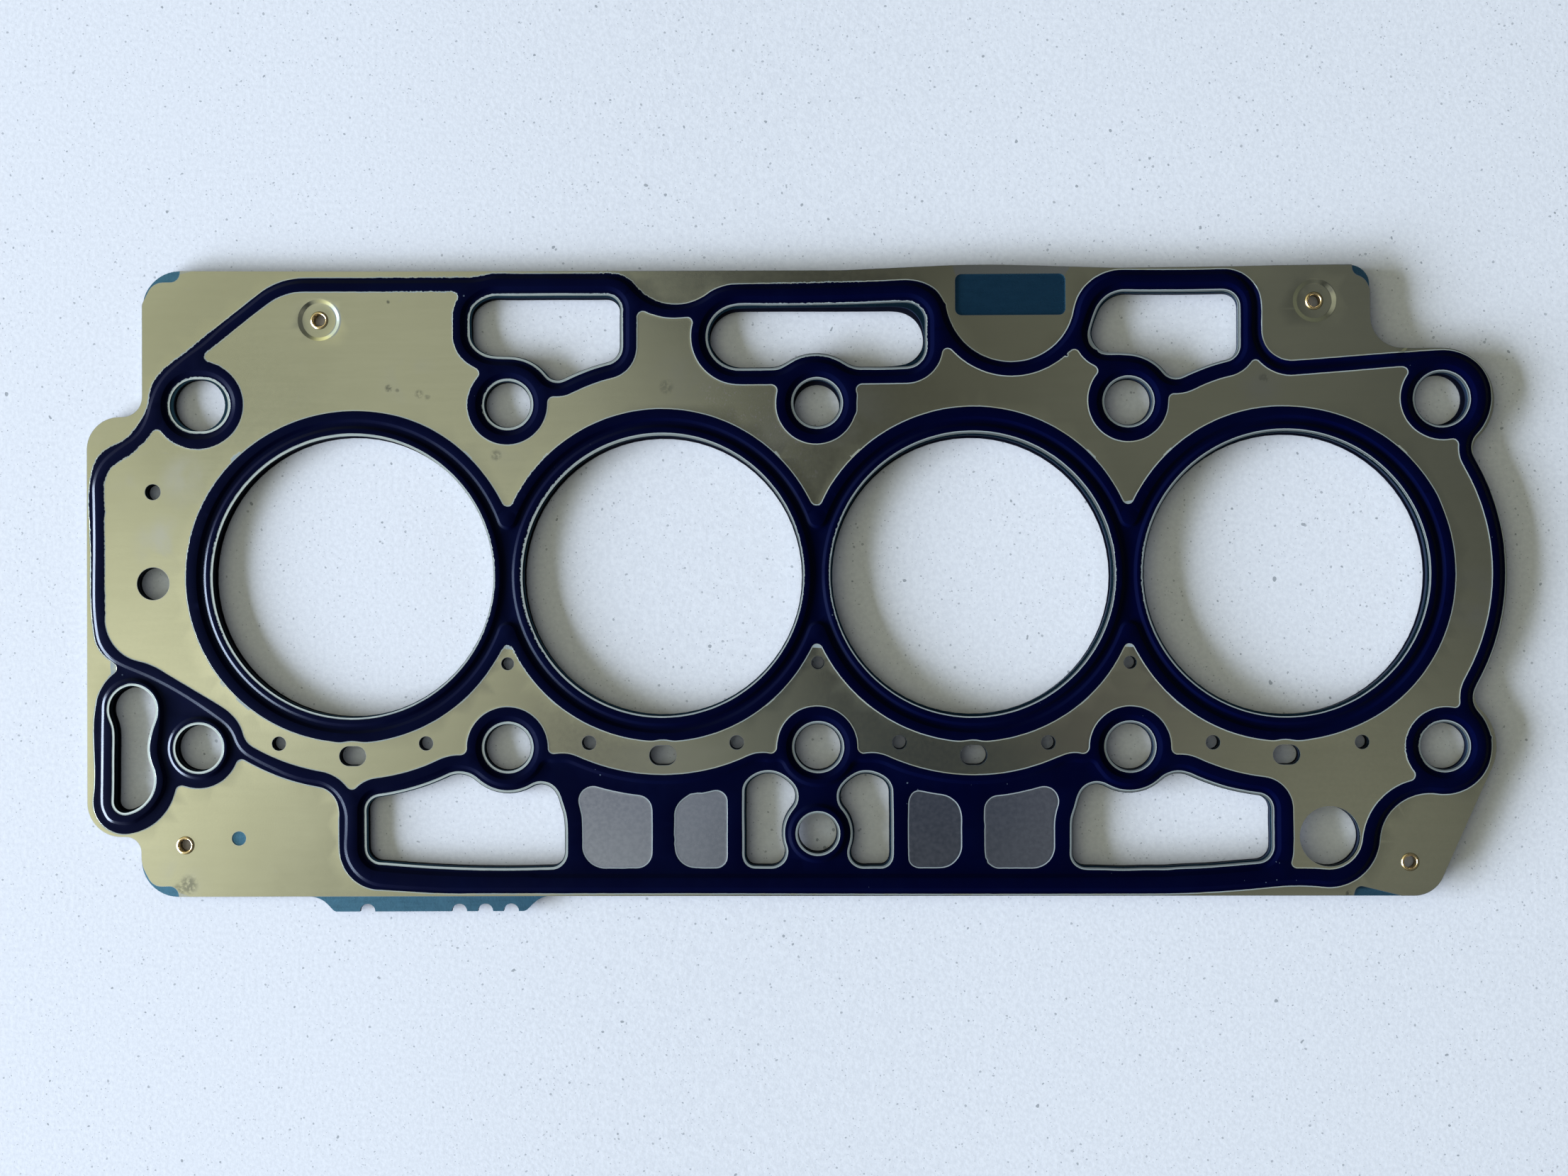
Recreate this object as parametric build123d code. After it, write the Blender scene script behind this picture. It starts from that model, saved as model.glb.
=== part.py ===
from build123d import *
import math
import os

os.makedirs("parts", exist_ok=True)

# Multi-layer steel cylinder head gasket for a four-cylinder engine.
# Frame: millimetres, +X along the row of cylinders, +Y across the deck, +Z up.
# Origin: centre of the 5 x 2 head bolt grid, on the plane the gasket lies on.

# ---- driving dimensions ---------------------------------------------------------------------------------
PITCH = 85.0            # cylinder pitch, equal to the head bolt pitch along X
ROW = 47.06             # half of the distance between the two bolt rows
SHEET_T = 0.25          # thickness of a functional (beaded) sheet
BEAD_H = 0.45           # free height of the half beads
CARRIER_T = 1.0         # thickness of the flat carrier sheet between them
Z_BOTTOM = BEAD_H + SHEET_T      # level where the bottom sheet touches the carrier
Z_TOP = Z_BOTTOM + CARRIER_T     # level where the top sheet touches the carrier
HALF_SLOPE = 0.65       # half of the plan width of the long beads' slopes
HALF_SLOPE_SHORT = 0.6  # the same for the beads of slot D and of the upper right corner

BORE_CUTS = [           # bore openings of top sheet, carrier and bottom sheet: x, y, radius
    ((-127.45, -0.15, 38.7), (-127.5, 0.0, 38.6), (-127.3, -0.15, 38.4)),
    ((-42.4, -0.1, 38.4), (-42.3, 0.05, 38.15), (-42.25, -0.35, 38.0)),
    ((42.1, -0.1, 38.6), (42.05, 0.0, 38.1), (41.95, -0.4, 37.9)),
    ((127.35, -0.05, 38.8), (127.4, 0.1, 38.4), (127.3, -0.2, 38.2)),
]
BORE_RIM_R = 40.4       # outer edge of the raised flat round each bore
BORE_RIM_FOOT_R = 41.5  # foot of that rim's slope
GROOVE_R = 42.75        # mid line of the slope back up to the field
GROOVE_HALF = 0.55
APEX_R = 2.5            # fillet of that line between two bores

BOLT_R = (6.46, 6.3, 6.14)    # bolt clearance hole in top sheet, carrier and bottom sheet
BOLT_FLAT_R = 7.4       # flat low ring round a bolt hole, foot of its slope
BOLT_SLOPE_R = 8.9      # head of its slope
ISLAND_BOLT_R = (8.85, 7.75)  # foot and head of the raised ring round the low left bolt
OIL_R = 5.45            # oil feed hole under bolt column 3
OIL_RING_R = (8.3, 7.1)
OIL_POS = (-0.15, -70.55)

DOWEL_L = (-170.25, 47.25)   # left dowel hole: obround in the top sheet, round below
DOWEL_L_R = 7.2
DOWEL_L_STRAIGHT = 1.8
DOWEL_R = (169.95, 47.35)    # right dowel hole: round
DOWEL_R_R = 7.25
DOWEL_LOWER = {              # dowel holes of carrier and bottom sheet: x, y, radius
    "dowel_l": ((-170.25, 47.3, 7.15), (-170.25, 47.3, 7.0)),
    "dowel_r": ((169.95, 47.35, 7.05), (169.05, 47.2, 6.7)),
}
DOWEL_FLAT = 0.95            # width of the low flat round a dowel hole
DOWEL_SLOPE = 2.45

# eyelets: x, y, foot and head radius of the pressed seat (None: the sheet is low there anyway)
EYELETS = {
    "eyelet_ul": (-136.9, 70.5, (4.6, 5.9)),
    "eyelet_ur": (135.6, 74.3, (4.5, 6.15)),
    "eyelet_ll": (-173.75, -73.75, None),
    "eyelet_lr": (160.5, -78.4, None),
}
EYELET_HOLE_R = 2.05    # hole in the three sheets
EYELET_R = 2.0          # barrel, outside
EYELET_BORE_R = 1.7     # barrel, inside
EYELET_FLANGE_R = 2.48
EYELET_FLANGE_T = 0.2

# small through holes: x, y, radius
SMALL_HOLES = [
    (-182.76, 23.31, 2.2), (-182.58, -1.9, 4.5), (138.79, -71.43, 8.15),
    (-147.8, -45.86, 1.95), (-107.3, -45.85, 1.95), (-62.6, -45.76, 1.95), (-22.2, -45.72, 1.95),
    (22.2, -45.76, 1.95), (62.7, -45.86, 1.95), (107.3, -45.88, 1.95), (147.6, -45.84, 1.95),
    (-84.9, -24.1, 1.75), (0.0, -24.0, 1.75), (85.0, -24.1, 1.75),
]
OBROUNDS = [(-127.5, -49.3), (-42.4, -49.2), (42.4, -49.25), (127.2, -49.25)]
OBROUND_R = 2.72
OBROUND_STRAIGHT = 1.95
BLIND_HOLE = (-158.99, -71.89, 1.95)     # through the top sheet only

LABEL = (37.9, 70.9, 68.0, 82.2)         # window in the top sheet: x0, y0, x1, y1
LABEL_R = 1.75

# openings of the carrier and of the bottom sheet against the top sheet's: inset, shift x, shift y
LOWER_CUT = {
    "A": ((0.35, 0.1, -0.15), (0.45, 0.15, -0.4)),
    "C": ((0.2, 0.2, -0.15), (0.1, 0.4, -0.35)),
    "D": ((0.15, 0.0, 0.0), (0.6, 0.0, 0.0)),
    "E": ((0.3, 0.1, 0.05), (0.35, 0.2, 0.1)),
    "I": ((0.3, -0.05, 0.1), (0.35, -0.1, 0.15)),
    "F": ((0.25, 0.1, 0.0), (0.4, 0.15, 0.0)),
    "G": ((0.3, 0.0, 0.0), (0.5, 0.0, 0.0)),
}
BOTTOM_BOLT_SHIFT = {(0.0, ROW): -1.0}   # one bolt hole of the bottom sheet sits off the others, along Y
SMALL_INSET = (0.05, 0.1)

# slopes round slots, measured out from the top sheet's edge: foot, head
SLOT_SLOPE = (1.25, 2.65)       # low flat at the edge, up to the field

NOTCHES = [(-123.6, -91.95), (-98.35, -91.9), (-91.2, -91.87), (-84.1, -91.85)]
NOTCH_R = 2.1

# ---- curves: x, y, heading in degrees; neighbours are joined by two tangent arcs -------------------------
FIELD_BEAD = [  # mid line of the long bead round the whole oil and water field
    (-106.05, 81, -179.8), (-136.03, 81.13, 179.4), (-145.49, 80.6, -166.7), (-161.46, 70.45, -142.7),
    (-171.09, 62.47, -145.7), (-182.52, 50.59, -112.4), (-185.6, 41.56, -118.1), (-194.94, 33.38, -140),
    (-199.03, 11.95, -89.4), (-199.08, -5.43, -89.7), (-192.62, -23.53, -28.1), (-186.59, -26.17, -22.4),
    (-164.41, -39.07, -36.5), (-163.45, -39.79, -36.6), (-156.31, -49.09, -31), (-147.77, -53.43, -25.2),
    (-130.55, -61.5, -63.4), (-129.3, -66.67, -89.9), (-128.23, -78.99, -61.2), (-108.31, -85.47, -1.7),
    (-101.75, -85.81, -0.1), (-24.46, -85.78, -0.3), (52.25, -85.9, 0), (121.03, -84.24, 5.7), (131.74, -83.61, -0),
    (141.23, -83.76, 12.1), (160.44, -59.61, 21.8), (175.02, -57.65, 25.5), (179.22, -39.79, 124.8),
    (177.76, -37.9, 122.5), (181.39, -21.84, 68.8), (181.29, 22.99, 111.6), (177.88, 37.86, 55.5),
    (179.44, 39.67, 52.4), (181.62, 51.53, 106.7), (167.87, 59.33, -169.8), (166.71, 59.06, -168.3),
    (143.05, 56.62, -175.7), (119.93, 61.69, 111.7), (119.01, 72.93, 90.7), (116.52, 79.48, 131.7),
    (102.95, 81.96, -180), (71.5, 72.68, -103.6), (70.83, 69.78, -107.8), (37.78, 64.56, 127), (29.94, 78.17, 151),
    (23.62, 79.55, -178.1), (-15.88, 78.79, -179.8), (-24.82, 78.34, -166.9), (-34.49, 73.8, -165.6),
    (-48.57, 76.65, 140), (-53.97, 81.24, 160.6), (-62.84, 81.82, 178.2), (-86.81, 82.08, 178.9), (-95.65, 81, -180),
]
LOWER_BEAD = [  # mid line of the bead round the pushrod-side windows
    (-66.91, -82.1, 0), (21.29, -82.1, 0), (87.24, -81.85, 1), (95.6, -81.78, 2.9), (117.6, -80.34, 5.3),
    (121.12, -79.8, 19.8), (125.1, -65.36, 89.6), (124.99, -62.98, 101.4), (111.41, -56.58, 165.1),
    (93.29, -53.65, -148.1), (90.94, -55.5, -143.5), (80.16, -56.53, 156.4), (76.35, -52.86, 126),
    (75.75, -51.84, 119.9), (70.81, -50.9, 173.6), (61.77, -53.5, -160.9), (27.25, -54.74, 165.4),
    (24.37, -53.95, 162), (13.6, -50.83, -175.6), (9.63, -51.38, -138), (8.65, -52.86, -123.7),
    (-8.58, -52.97, 124.5), (-9.91, -51.02, 142.1), (-13.35, -50.78, 179.5), (-15.13, -50.61, 180),
    (-20.24, -52.09, -156.9), (-64.4, -52.36, 158.1), (-69.47, -50.71, 176.9), (-72.44, -50.82, 178),
    (-74.19, -50.71, -169.2), (-77.27, -54.11, -131.6), (-91.33, -55.32, 143.9), (-94.24, -53.23, 153.7),
    (-110.7, -56.3, -163.4), (-125.7, -64.09, -90.8), (-125.7, -67.09, -89.9), (-122.51, -79.65, -28.1),
    (-117.28, -80.57, -5), (-79.67, -81.84, 1), (-76.11, -82.12, 0.8),
]
CORNER_BEAD = [  # mid line of the bead round the raised corner beside slot C
    (161, 71, 90), (161, 89, 90), (158, 92, 180), (123.09, 91.99, -180), (119.61, 90.95, -107.4),
    (119.5, 89.17, -90.1), (119.51, 81.97, -89.5), (119.93, 76.66, -68.2), (120.7, 68.39, -89.7),
    (120.88, 64.21, -78.9), (144.72, 58.35, 3.3), (150.05, 58.71, -1.9), (156.9, 59.25, 7), (160.9, 63.2, 88),
]
SLOT_D_BEAD = [  # mid line of the bead round slot D
    (-188.35, -28.15, 180), (-196.5, -35.8, -91), (-196.63, -45, -90.2), (-196.7, -56, -90.4),
    (-196.75, -61.8, -88.5), (-195.45, -65.8, -58), (-190.6, -67.75, -3), (-184.1, -64.9, 38), (-180.4, -60.2, 62),
    (-179.3, -56, 88), (-180.2, -51.4, 105), (-180.95, -47.3, 90.5), (-180.6, -43.5, 84), (-180.15, -37, 90),
]
SLOT_A = [  # water slot A, over bolt column 2
    (-74.89, 76.95, -179.7), (-79.69, 76.95, -179.5), (-93.94, 74.4, -134.3), (-95.43, 69.39, -87.6),
    (-94.49, 63.58, -55.6), (-88.97, 60.37, -6.8), (-83.61, 60.1, -4.7), (-75.18, 56.05, -47.5),
    (-73.54, 54.31, -35.3), (-65.19, 55.89, 22.5), (-58.38, 58.17, 14.3), (-56.12, 58.94, 31), (-53.83, 68.3, 90.3),
    (-55.48, 76.12, 144.1), (-60.7, 76.89, 179.8),
]
SLOT_B = [  # long water slot B, over bolt column 3
    (-10.63, 73.88, -179.9), (-14.82, 73.9, 177.9), (-26.88, 71.76, -140.3), (-28.01, 59.94, -51.5),
    (-12.85, 56.71, 0.4), (-3.45, 60.27, 12.3), (3.06, 60.18, -13.6), (12.51, 56.76, 1.3), (17.3, 56.72, 0.2),
    (29.38, 60.69, 72.5), (29.65, 63.66, 90.2), (27.31, 73.64, 146.8), (22.09, 74.51, -177.7),
]
SLOT_C = [  # water slot C, over bolt column 4
    (97.33, 76.97, 179.9), (88.94, 77.02, 179.3), (80.16, 76.05, -149.9), (74.87, 67, -104.3), (76.05, 62.35, -52),
    (80.95, 60.48, 1.3), (91.34, 58.34, -31.5), (98.62, 53.76, 9.1), (100.85, 54.61, 24.1), (110.41, 58.07, 14.8),
    (112.69, 58.77, 27.6), (114.92, 67.52, 89.5), (112.45, 76.7, 155.6), (108.92, 77.06, -179),
]
SLOT_D = [  # waisted slot D at the low left corner
    (-193.3, -52.75, -89.6), (-193.3, -56.35, -90.3), (-190.93, -64.73, -12), (-188.6, -64.43, 19.2),
    (-183.26, -59.88, 62.3), (-183.76, -44.18, 77), (-182.03, -34.91, 104.2), (-186.36, -30.29, 160.3),
    (-189.87, -30.07, -162.3), (-194.47, -34.44, -107.9), (-193.24, -43.75, -90),
]
SLOT_E = [  # large window E
    (-86.34, -80.04, -0.1), (-74.36, -79.83, 1.5), (-71.43, -79.4, 27), (-69.17, -70.68, 90.2), (-69.92, -64.17, 108),
    (-72.2, -58.68, 129.6), (-86.17, -59.33, 173.7), (-100.95, -54.63, -158.7), (-102.05, -55.12, -155.1),
    (-119.21, -60.17, -171.5), (-120.98, -60.47, -164.1), (-123.81, -70.53, -90.1), (-122.01, -77.74, -34.9),
    (-117.39, -78.63, -5.1),
]
SLOT_I = [  # large window I
    (90.92, -79.98, -0.9), (102.27, -79.51, 1.8), (118.34, -78.36, 4.3), (120.67, -77.93, 22.6),
    (123.22, -68.8, 91.8), (121.58, -60.94, 142.7), (117.6, -59.86, 171.1), (102.69, -55.55, 155.9),
    (99.33, -54.31, 168.8), (87.5, -59.14, -167.2), (71.56, -59.62, -118.7), (69.82, -64.71, -110.3),
    (69.1, -73, -90.3), (69.02, -75.99, -90.4), (80.54, -80.08, -2.4),
]
SLOT_F = [  # kidney F
    (-20.16, -71.56, -90.4), (-20.16, -73.96, -90.3), (-19.68, -78.06, -61.3), (-14.23, -79.54, -0.2),
    (-11.85, -79.38, 15.6), (-8.79, -66.04, 64.6), (-6.05, -60.82, 86.1), (-10.32, -54.83, 151.1),
    (-18.65, -55.92, -137.9), (-20.2, -63.27, -91),
]
SLOT_G = [  # kidney G
    (19.89, -69.8, 90.3), (19.88, -64.4, 90.9), (17.72, -55.53, 146.2), (9.8, -54.92, -149.6), (5.67, -61, -84.8),
    (8.46, -66.21, -65.6), (11.51, -79.46, -11.9), (14.49, -79.52, 0.2), (19.01, -78.58, 47.8), (19.9, -74.6, 91),
]
SLOT_B_CARRIER = [  # slot B in the carrier
    (20, 73.55, -179.5), (-16.5, 73.4, -179.5), (-26.6, 71.3, -140), (-27.75, 60.15, -51.5), (-12.85, 56.95, 0.4),
    (-3.4, 60.45, 12.3), (3.1, 60.4, -13.6), (12.51, 56.95, 1.3), (18.5, 56.95, 1), (28.9, 61.3, 68), (29.4, 65, 92),
    (26.5, 72, 140),
]
SLOT_B_BOTTOM = [  # slot B in the bottom sheet
    (19.5, 72.4, -179.8), (-21, 72.5, -179.8), (-29.3, 64.7, -91), (-27.4, 60.4, -51.5), (-12.85, 57, 0.4),
    (-3.4, 60.5, 12.3), (3.1, 60.45, -13.6), (12.51, 57, 1.3), (20.5, 57, 2), (28.6, 61.4, 62), (29.2, 64.2, 90),
    (24.7, 71.5, 155),
]

LOBE_LOW = (170.0, -47.1, 14.1)     # bolt lobes on the right edge: centre, radius
LOBE_TOP = (170.0, 47.1, 14.2)
BULGE = (127.0, 0.0, 60.3)          # right edge round cylinder 4
NECK_LOW_R = 5.26                   # concave fillets between the bulge and the lobes
NECK_TOP_R = 5.44

# outline corners, counter-clockwise from the top of the upper right lobe: x, y, corner radius
CORNERS_TOP = [(150.7, 61.3, 8.6), (150.7, 84.15, 5.3)]
CORNERS_EDGE = [(82.0, 83.68, 80.0), (44.0, 84.95, 300.0), (6.5, 83.42, 80.0), (-120.0, 83.93, 400.0)]
CORNERS_TL = [(-186.05, 84.45, 10.3)]
CORNERS_LEFT = [(-186.0, 44.2, 5.5), (-201.35, 44.0, 9.0), (-200.9, -71.45, 9.5), (-186.0, -71.5, 4.2)]
CORNERS_BL = [(-185.9, -87.95, 10.2)]
CORNERS_TAB = [(-136.6, -87.87, 7.0), (-132.7, -91.98, 1.5), (-80.1, -91.8, 2.0), (-75.9, -87.66, 6.5)]
CORNERS_BR = [(167.1, -87.6, 10.5)]
# the beaded sheets are cut back at four corners, and have no tab
CUT_TR = [(150.7, 61.3, 8.6), (150.65, 77.3, 0.3), (149.0, 80.9, 4.0), (146.0, 81.3, 2.2), (145.7, 84.12, 0.2)]
CUT_TL = [(-175.55, 84.37, 0.2), (-175.9, 81.25, 2.6), (-183.1, 81.2, 4.5), (-186.1, 75.2, 2.0)]
CUT_BL = [(-185.9, -79.2, 9.0), (-182.7, -85.15, 4.0), (-176.0, -84.95, 2.6), (-175.5, -87.9, 0.2)]
CUT_BR = [(-73.2, -87.66, 40.0), (145.3, -87.5, 0.2), (146.0, -84.6, 1.8), (158.2, -87.58, 0.3), (167.1, -87.6, 8.6)]


# ---- plane geometry -------------------------------------------------------------------------------------
# A loop is a list of lines ("L", x0, y0, x1, y1, h0, h1), h being the heading of the smooth curve at either
# end, and of arcs ("A", cx, cy, r, t0, t1).
def line(x0, y0, x1, y1):
    h = math.atan2(y1 - y0, x1 - x0)
    return ("L", x0, y0, x1, y1, h, h)


def tangent_arc(p, heading, q):
    """Line or arc from p, leaving along heading, to q."""
    tx, ty = math.cos(heading), math.sin(heading)
    vx, vy = q[0] - p[0], q[1] - p[1]
    along, left = vx * tx + vy * ty, -vx * ty + vy * tx
    chord2 = vx * vx + vy * vy
    turn = 2 * math.atan2(left, along)
    if abs(left) < 1e-9 or chord2 / abs(2 * left) > 3000.0:
        return ("L", p[0], p[1], q[0], q[1], heading, heading + turn)
    r = chord2 / (2 * left)
    cx, cy = p[0] - ty * r, p[1] + tx * r
    t0 = math.atan2(p[1] - cy, p[0] - cx)
    return ("A", cx, cy, abs(r), t0, t0 + turn)


def biarc_loop(knots):
    """Closed smooth loop through knots (x, y, heading)."""
    loop = []
    for (x0, y0, h0), (x1, y1, h1) in zip(knots, knots[1:] + knots[:1]):
        a0, a1 = math.radians(h0), math.radians(h1)
        t0, t1 = (math.cos(a0), math.sin(a0)), (math.cos(a1), math.sin(a1))
        v = (x1 - x0, y1 - y0)
        a = 2 * (t0[0] * t1[0] + t0[1] * t1[1] - 1)
        b = -2 * (v[0] * (t0[0] + t1[0]) + v[1] * (t0[1] + t1[1]))
        c = v[0] ** 2 + v[1] ** 2
        if abs(a) < 1e-9:
            d = -c / b
        else:
            root = math.sqrt(b * b - 4 * a * c)
            d = min(s for s in ((-b - root) / (2 * a), (-b + root) / (2 * a)) if s > 0)
        q = ((x0 + d * t0[0] + x1 - d * t1[0]) / 2, (y0 + d * t0[1] + y1 - d * t1[1]) / 2)
        first = tangent_arc((x0, y0), a0, q)
        back = tangent_arc((x1, y1), a1 + math.pi, q)      # the second arc, walked backwards
        if back[0] == "L":
            second = ("L", q[0], q[1], x1, y1, back[6] - math.pi, a1)
        else:
            second = ("A", back[1], back[2], back[3], back[5], back[4])
        loop += [first, second]
    return loop


def circle(x, y, r):
    return [("A", x, y, r, 0.0, 2 * math.pi)]


def obround(x, y, r, straight):
    s = straight / 2
    return [
        line(x - s, y - r, x + s, y - r), ("A", x + s, y, r, -math.pi / 2, math.pi / 2),
        line(x + s, y + r, x - s, y + r), ("A", x - s, y, r, math.pi / 2, 1.5 * math.pi),
    ]


def groove_loop():
    """Union of four discs in a row with filleted waists."""
    n = 4
    xs = [(i - 1.5) * PITCH for i in range(n)]
    yf = math.sqrt((GROOVE_R + APEX_R) ** 2 - (PITCH / 2) ** 2)
    f = math.atan2(yf, PITCH / 2)
    pi = math.pi
    loop = [("A", xs[3], 0.0, GROOVE_R, pi + f, 3 * pi - f)]
    for i in (2, 1, 0):
        loop.append(("A", xs[i] + PITCH / 2, yf, APEX_R, -f, -pi + f))
        loop.append(("A", xs[i], 0.0, GROOVE_R, f, pi - f if i else 2 * pi - f))
    for i in (0, 1, 2):
        loop.append(("A", xs[i] + PITCH / 2, -yf, APEX_R, pi - f, f))
        if i < 2:
            loop.append(("A", xs[i + 1], 0.0, GROOVE_R, pi + f, 2 * pi - f))
    return loop


def offset(loop, d):
    """Parallel loop, d outwards for a counter-clockwise loop."""
    out = []
    for s in loop:
        if s[0] == "L":
            _, x0, y0, x1, y1, h0, h1 = s
            out.append(("L", x0 + d * math.sin(h0), y0 - d * math.cos(h0),
                        x1 + d * math.sin(h1), y1 - d * math.cos(h1), h0, h1))
        else:
            _, cx, cy, r, t0, t1 = s
            r2 = r + d if t1 > t0 else r - d
            assert r2 > 0.05, ("offset too large", s, d)
            out.append(("A", cx, cy, r2, t0, t1))
    return out


def moved(loop, dx, dy):
    return [(s[0], s[1] + dx, s[2] + dy, s[3] + dx, s[4] + dy) + s[5:] if s[0] == "L" else
            (s[0], s[1] + dx, s[2] + dy) + s[3:] for s in loop]


def corner_path(points):
    """Lines through points (x, y, r), corners rounded with r; the first and last points are plain ends."""
    segs = []
    here = points[0][:2]
    for a, b, c in zip(points, points[1:], points[2:]):
        ux, uy = a[0] - b[0], a[1] - b[1]
        vx, vy = c[0] - b[0], c[1] - b[1]
        lu, lv = math.hypot(ux, uy), math.hypot(vx, vy)
        ux, uy, vx, vy = ux / lu, uy / lu, vx / lv, vy / lv
        half = math.acos(max(-1.0, min(1.0, ux * vx + uy * vy))) / 2
        t = b[2] / math.tan(half)
        s, e = (b[0] + ux * t, b[1] + uy * t), (b[0] + vx * t, b[1] + vy * t)
        bx, by = ux + vx, uy + vy
        lb = math.hypot(bx, by)
        k = b[2] / math.sin(half)
        cx, cy = b[0] + bx / lb * k, b[1] + by / lb * k
        t0, t1 = math.atan2(s[1] - cy, s[0] - cx), math.atan2(e[1] - cy, e[0] - cx)
        t1 = t0 + (t1 - t0 + math.pi) % (2 * math.pi) - math.pi
        if math.hypot(s[0] - here[0], s[1] - here[1]) > 1e-4:
            segs.append(line(*here, *s))
        segs.append(("A", cx, cy, b[2], t0, t1))
        here = e
    segs.append(line(*here, *points[-1][:2]))
    return segs


def fillet_centre(c1, c2, r, side):
    """Centre of the circle of radius r outside and tangent to circles c1 and c2."""
    d = math.hypot(c2[0] - c1[0], c2[1] - c1[1])
    a, b = c1[2] + r, c2[2] + r
    m = (a * a - b * b + d * d) / (2 * d)
    h = math.sqrt(a * a - m * m) * side
    ux, uy = (c2[0] - c1[0]) / d, (c2[1] - c1[1]) / d
    return c1[0] + m * ux - h * uy, c1[1] + m * uy + h * ux


def outline(corners):
    """Closed outline: corners from the top lobe round to the low right corner, then lobes and bulge."""
    px, py = corners[-1][:2]
    dx, dy = LOBE_LOW[0] - px, LOBE_LOW[1] - py
    # tangent from the low right corner to the low lobe, touching it on its right
    reach = math.sqrt(dx * dx + dy * dy - LOBE_LOW[2] ** 2)
    edge = math.atan2(dy, dx) - math.asin(LOBE_LOW[2] / math.hypot(dx, dy))
    touch = (px + reach * math.cos(edge), py + reach * math.sin(edge))
    segs = corner_path([(LOBE_TOP[0], LOBE_TOP[1] + LOBE_TOP[2], 0)] + corners + [touch + (0,)])

    def ang(c, p):
        return math.atan2(p[1] - c[1], p[0] - c[0])

    n1 = fillet_centre(LOBE_LOW, BULGE, NECK_LOW_R, -1)
    n2 = fillet_centre(LOBE_TOP, BULGE, NECK_TOP_R, 1)
    tau = 2 * math.pi
    segs.append(("A",) + LOBE_LOW + (ang(LOBE_LOW, touch), ang(LOBE_LOW, n1)))
    segs.append(("A",) + n1 + (NECK_LOW_R, ang(n1, LOBE_LOW) % tau, ang(n1, BULGE) % tau))
    segs.append(("A",) + BULGE + (ang(BULGE, n1), ang(BULGE, n2)))
    segs.append(("A",) + n2 + (NECK_TOP_R, ang(n2, BULGE) % tau, ang(n2, LOBE_TOP) % tau))
    segs.append(("A",) + LOBE_TOP + (ang(LOBE_TOP, n2), math.pi / 2))
    return segs


# ---- solids -------------------------------------------------------------------------------------------
def edges(loop, z):
    out = []
    for s in loop:
        if s[0] == "L":
            out.append(Edge.make_line((s[1], s[2], z), (s[3], s[4], z)))
        else:
            _, cx, cy, r, t0, t1 = s
            if abs(t1 - t0) > 2 * math.pi - 1e-6:
                out.append(Edge.make_circle(r, Plane(origin=(cx, cy, z), x_dir=(1, 0, 0), z_dir=(0, 0, 1))))
            else:
                p = [(cx + r * math.cos(t), cy + r * math.sin(t), z) for t in (t0, (t0 + t1) / 2, t1)]
                out.append(Edge.make_three_point_arc(*p))
    return out


def wire(loop, z):
    return Wire(edges(loop, z))


def flat(outer, inners, z):
    return Face(wire(outer, z), [wire(i, z) for i in inners])


def wall(loop, z0, z1):
    return [Face.extrude(e, (0, 0, z1 - z0)) for e in edges(loop, z0)]


def slope(low, high, z0, z1):
    return list(Shell.make_loft([wire(low, z0), wire(high, z1)], ruled=True).faces())


def prism(outer, inners, z0, z1):
    """Plate between z0 and z1."""
    faces = [flat(outer, inners, z0), flat(outer, inners, z1)]
    for loop in [outer] + inners:
        faces += wall(loop, z0, z1)
    return solid(faces)


def solid(faces):
    s = Solid(Shell(faces))
    if s.volume < 0:
        s = Solid(Shell([-f for f in faces]))
    return s


def frustum(foot, head, z0, z1):
    return solid([flat(foot, [], z0), flat(head, [], z1)] + slope(foot, head, z0, z1))


SLOTS = {
    "A": SLOT_A, "B": SLOT_B, "C": SLOT_C, "D": SLOT_D,
    "E": SLOT_E, "I": SLOT_I, "F": SLOT_F, "G": SLOT_G,
}
SLOTS = {name: biarc_loop(knots) for name, knots in SLOTS.items()}
BORES = [((i - 1.5) * PITCH, 0.0) for i in range(4)]
BOLTS = [(i * PITCH, side * ROW) for i in (-2, -1, 0, 1, 2) for side in (1, -1) if not (abs(i) == 2 and side > 0)]
ISLAND_BOLT = (-2 * PITCH, -ROW)


def openings(layer):
    """Opening edges of a sheet: 0 top sheet, 1 carrier, 2 bottom sheet."""
    loops = {}
    for name, loop in SLOTS.items():
        if layer and name == "B":
            loop = biarc_loop((SLOT_B_CARRIER, SLOT_B_BOTTOM)[layer - 1])
        elif layer:
            inset, dx, dy = LOWER_CUT[name][layer - 1]
            loop = moved(offset(loop, -inset), dx, dy)
        loops[name] = loop
    for i, cuts in enumerate(BORE_CUTS):
        loops["bore%d" % i] = circle(*cuts[layer])
    for x, y in BOLTS:
        dy = BOTTOM_BOLT_SHIFT.get((x, y), 0.0) if layer == 2 else 0.0
        loops["bolt", x, y] = circle(x, y + dy, BOLT_R[layer])
    loops["oil"] = circle(*OIL_POS, OIL_R - (0.0, 0.15, 0.3)[layer])
    if layer:
        for name, cuts in DOWEL_LOWER.items():
            loops[name] = circle(*cuts[layer - 1])
    else:
        loops["dowel_l"] = obround(*DOWEL_L, DOWEL_L_R, DOWEL_L_STRAIGHT)
        loops["dowel_r"] = circle(*DOWEL_R, DOWEL_R_R)
    less = ((0.0,) + SMALL_INSET)[layer]
    for i, (x, y, r) in enumerate(SMALL_HOLES):
        loops["small%d" % i] = circle(x, y, r - less)
    for i, (x, y) in enumerate(OBROUNDS):
        loops["obround%d" % i] = obround(x, y, OBROUND_R - less, OBROUND_STRAIGHT)
    for name, (x, y, _) in EYELETS.items():
        loops[name] = circle(x, y, EYELET_HOLE_R)
    return loops


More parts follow.
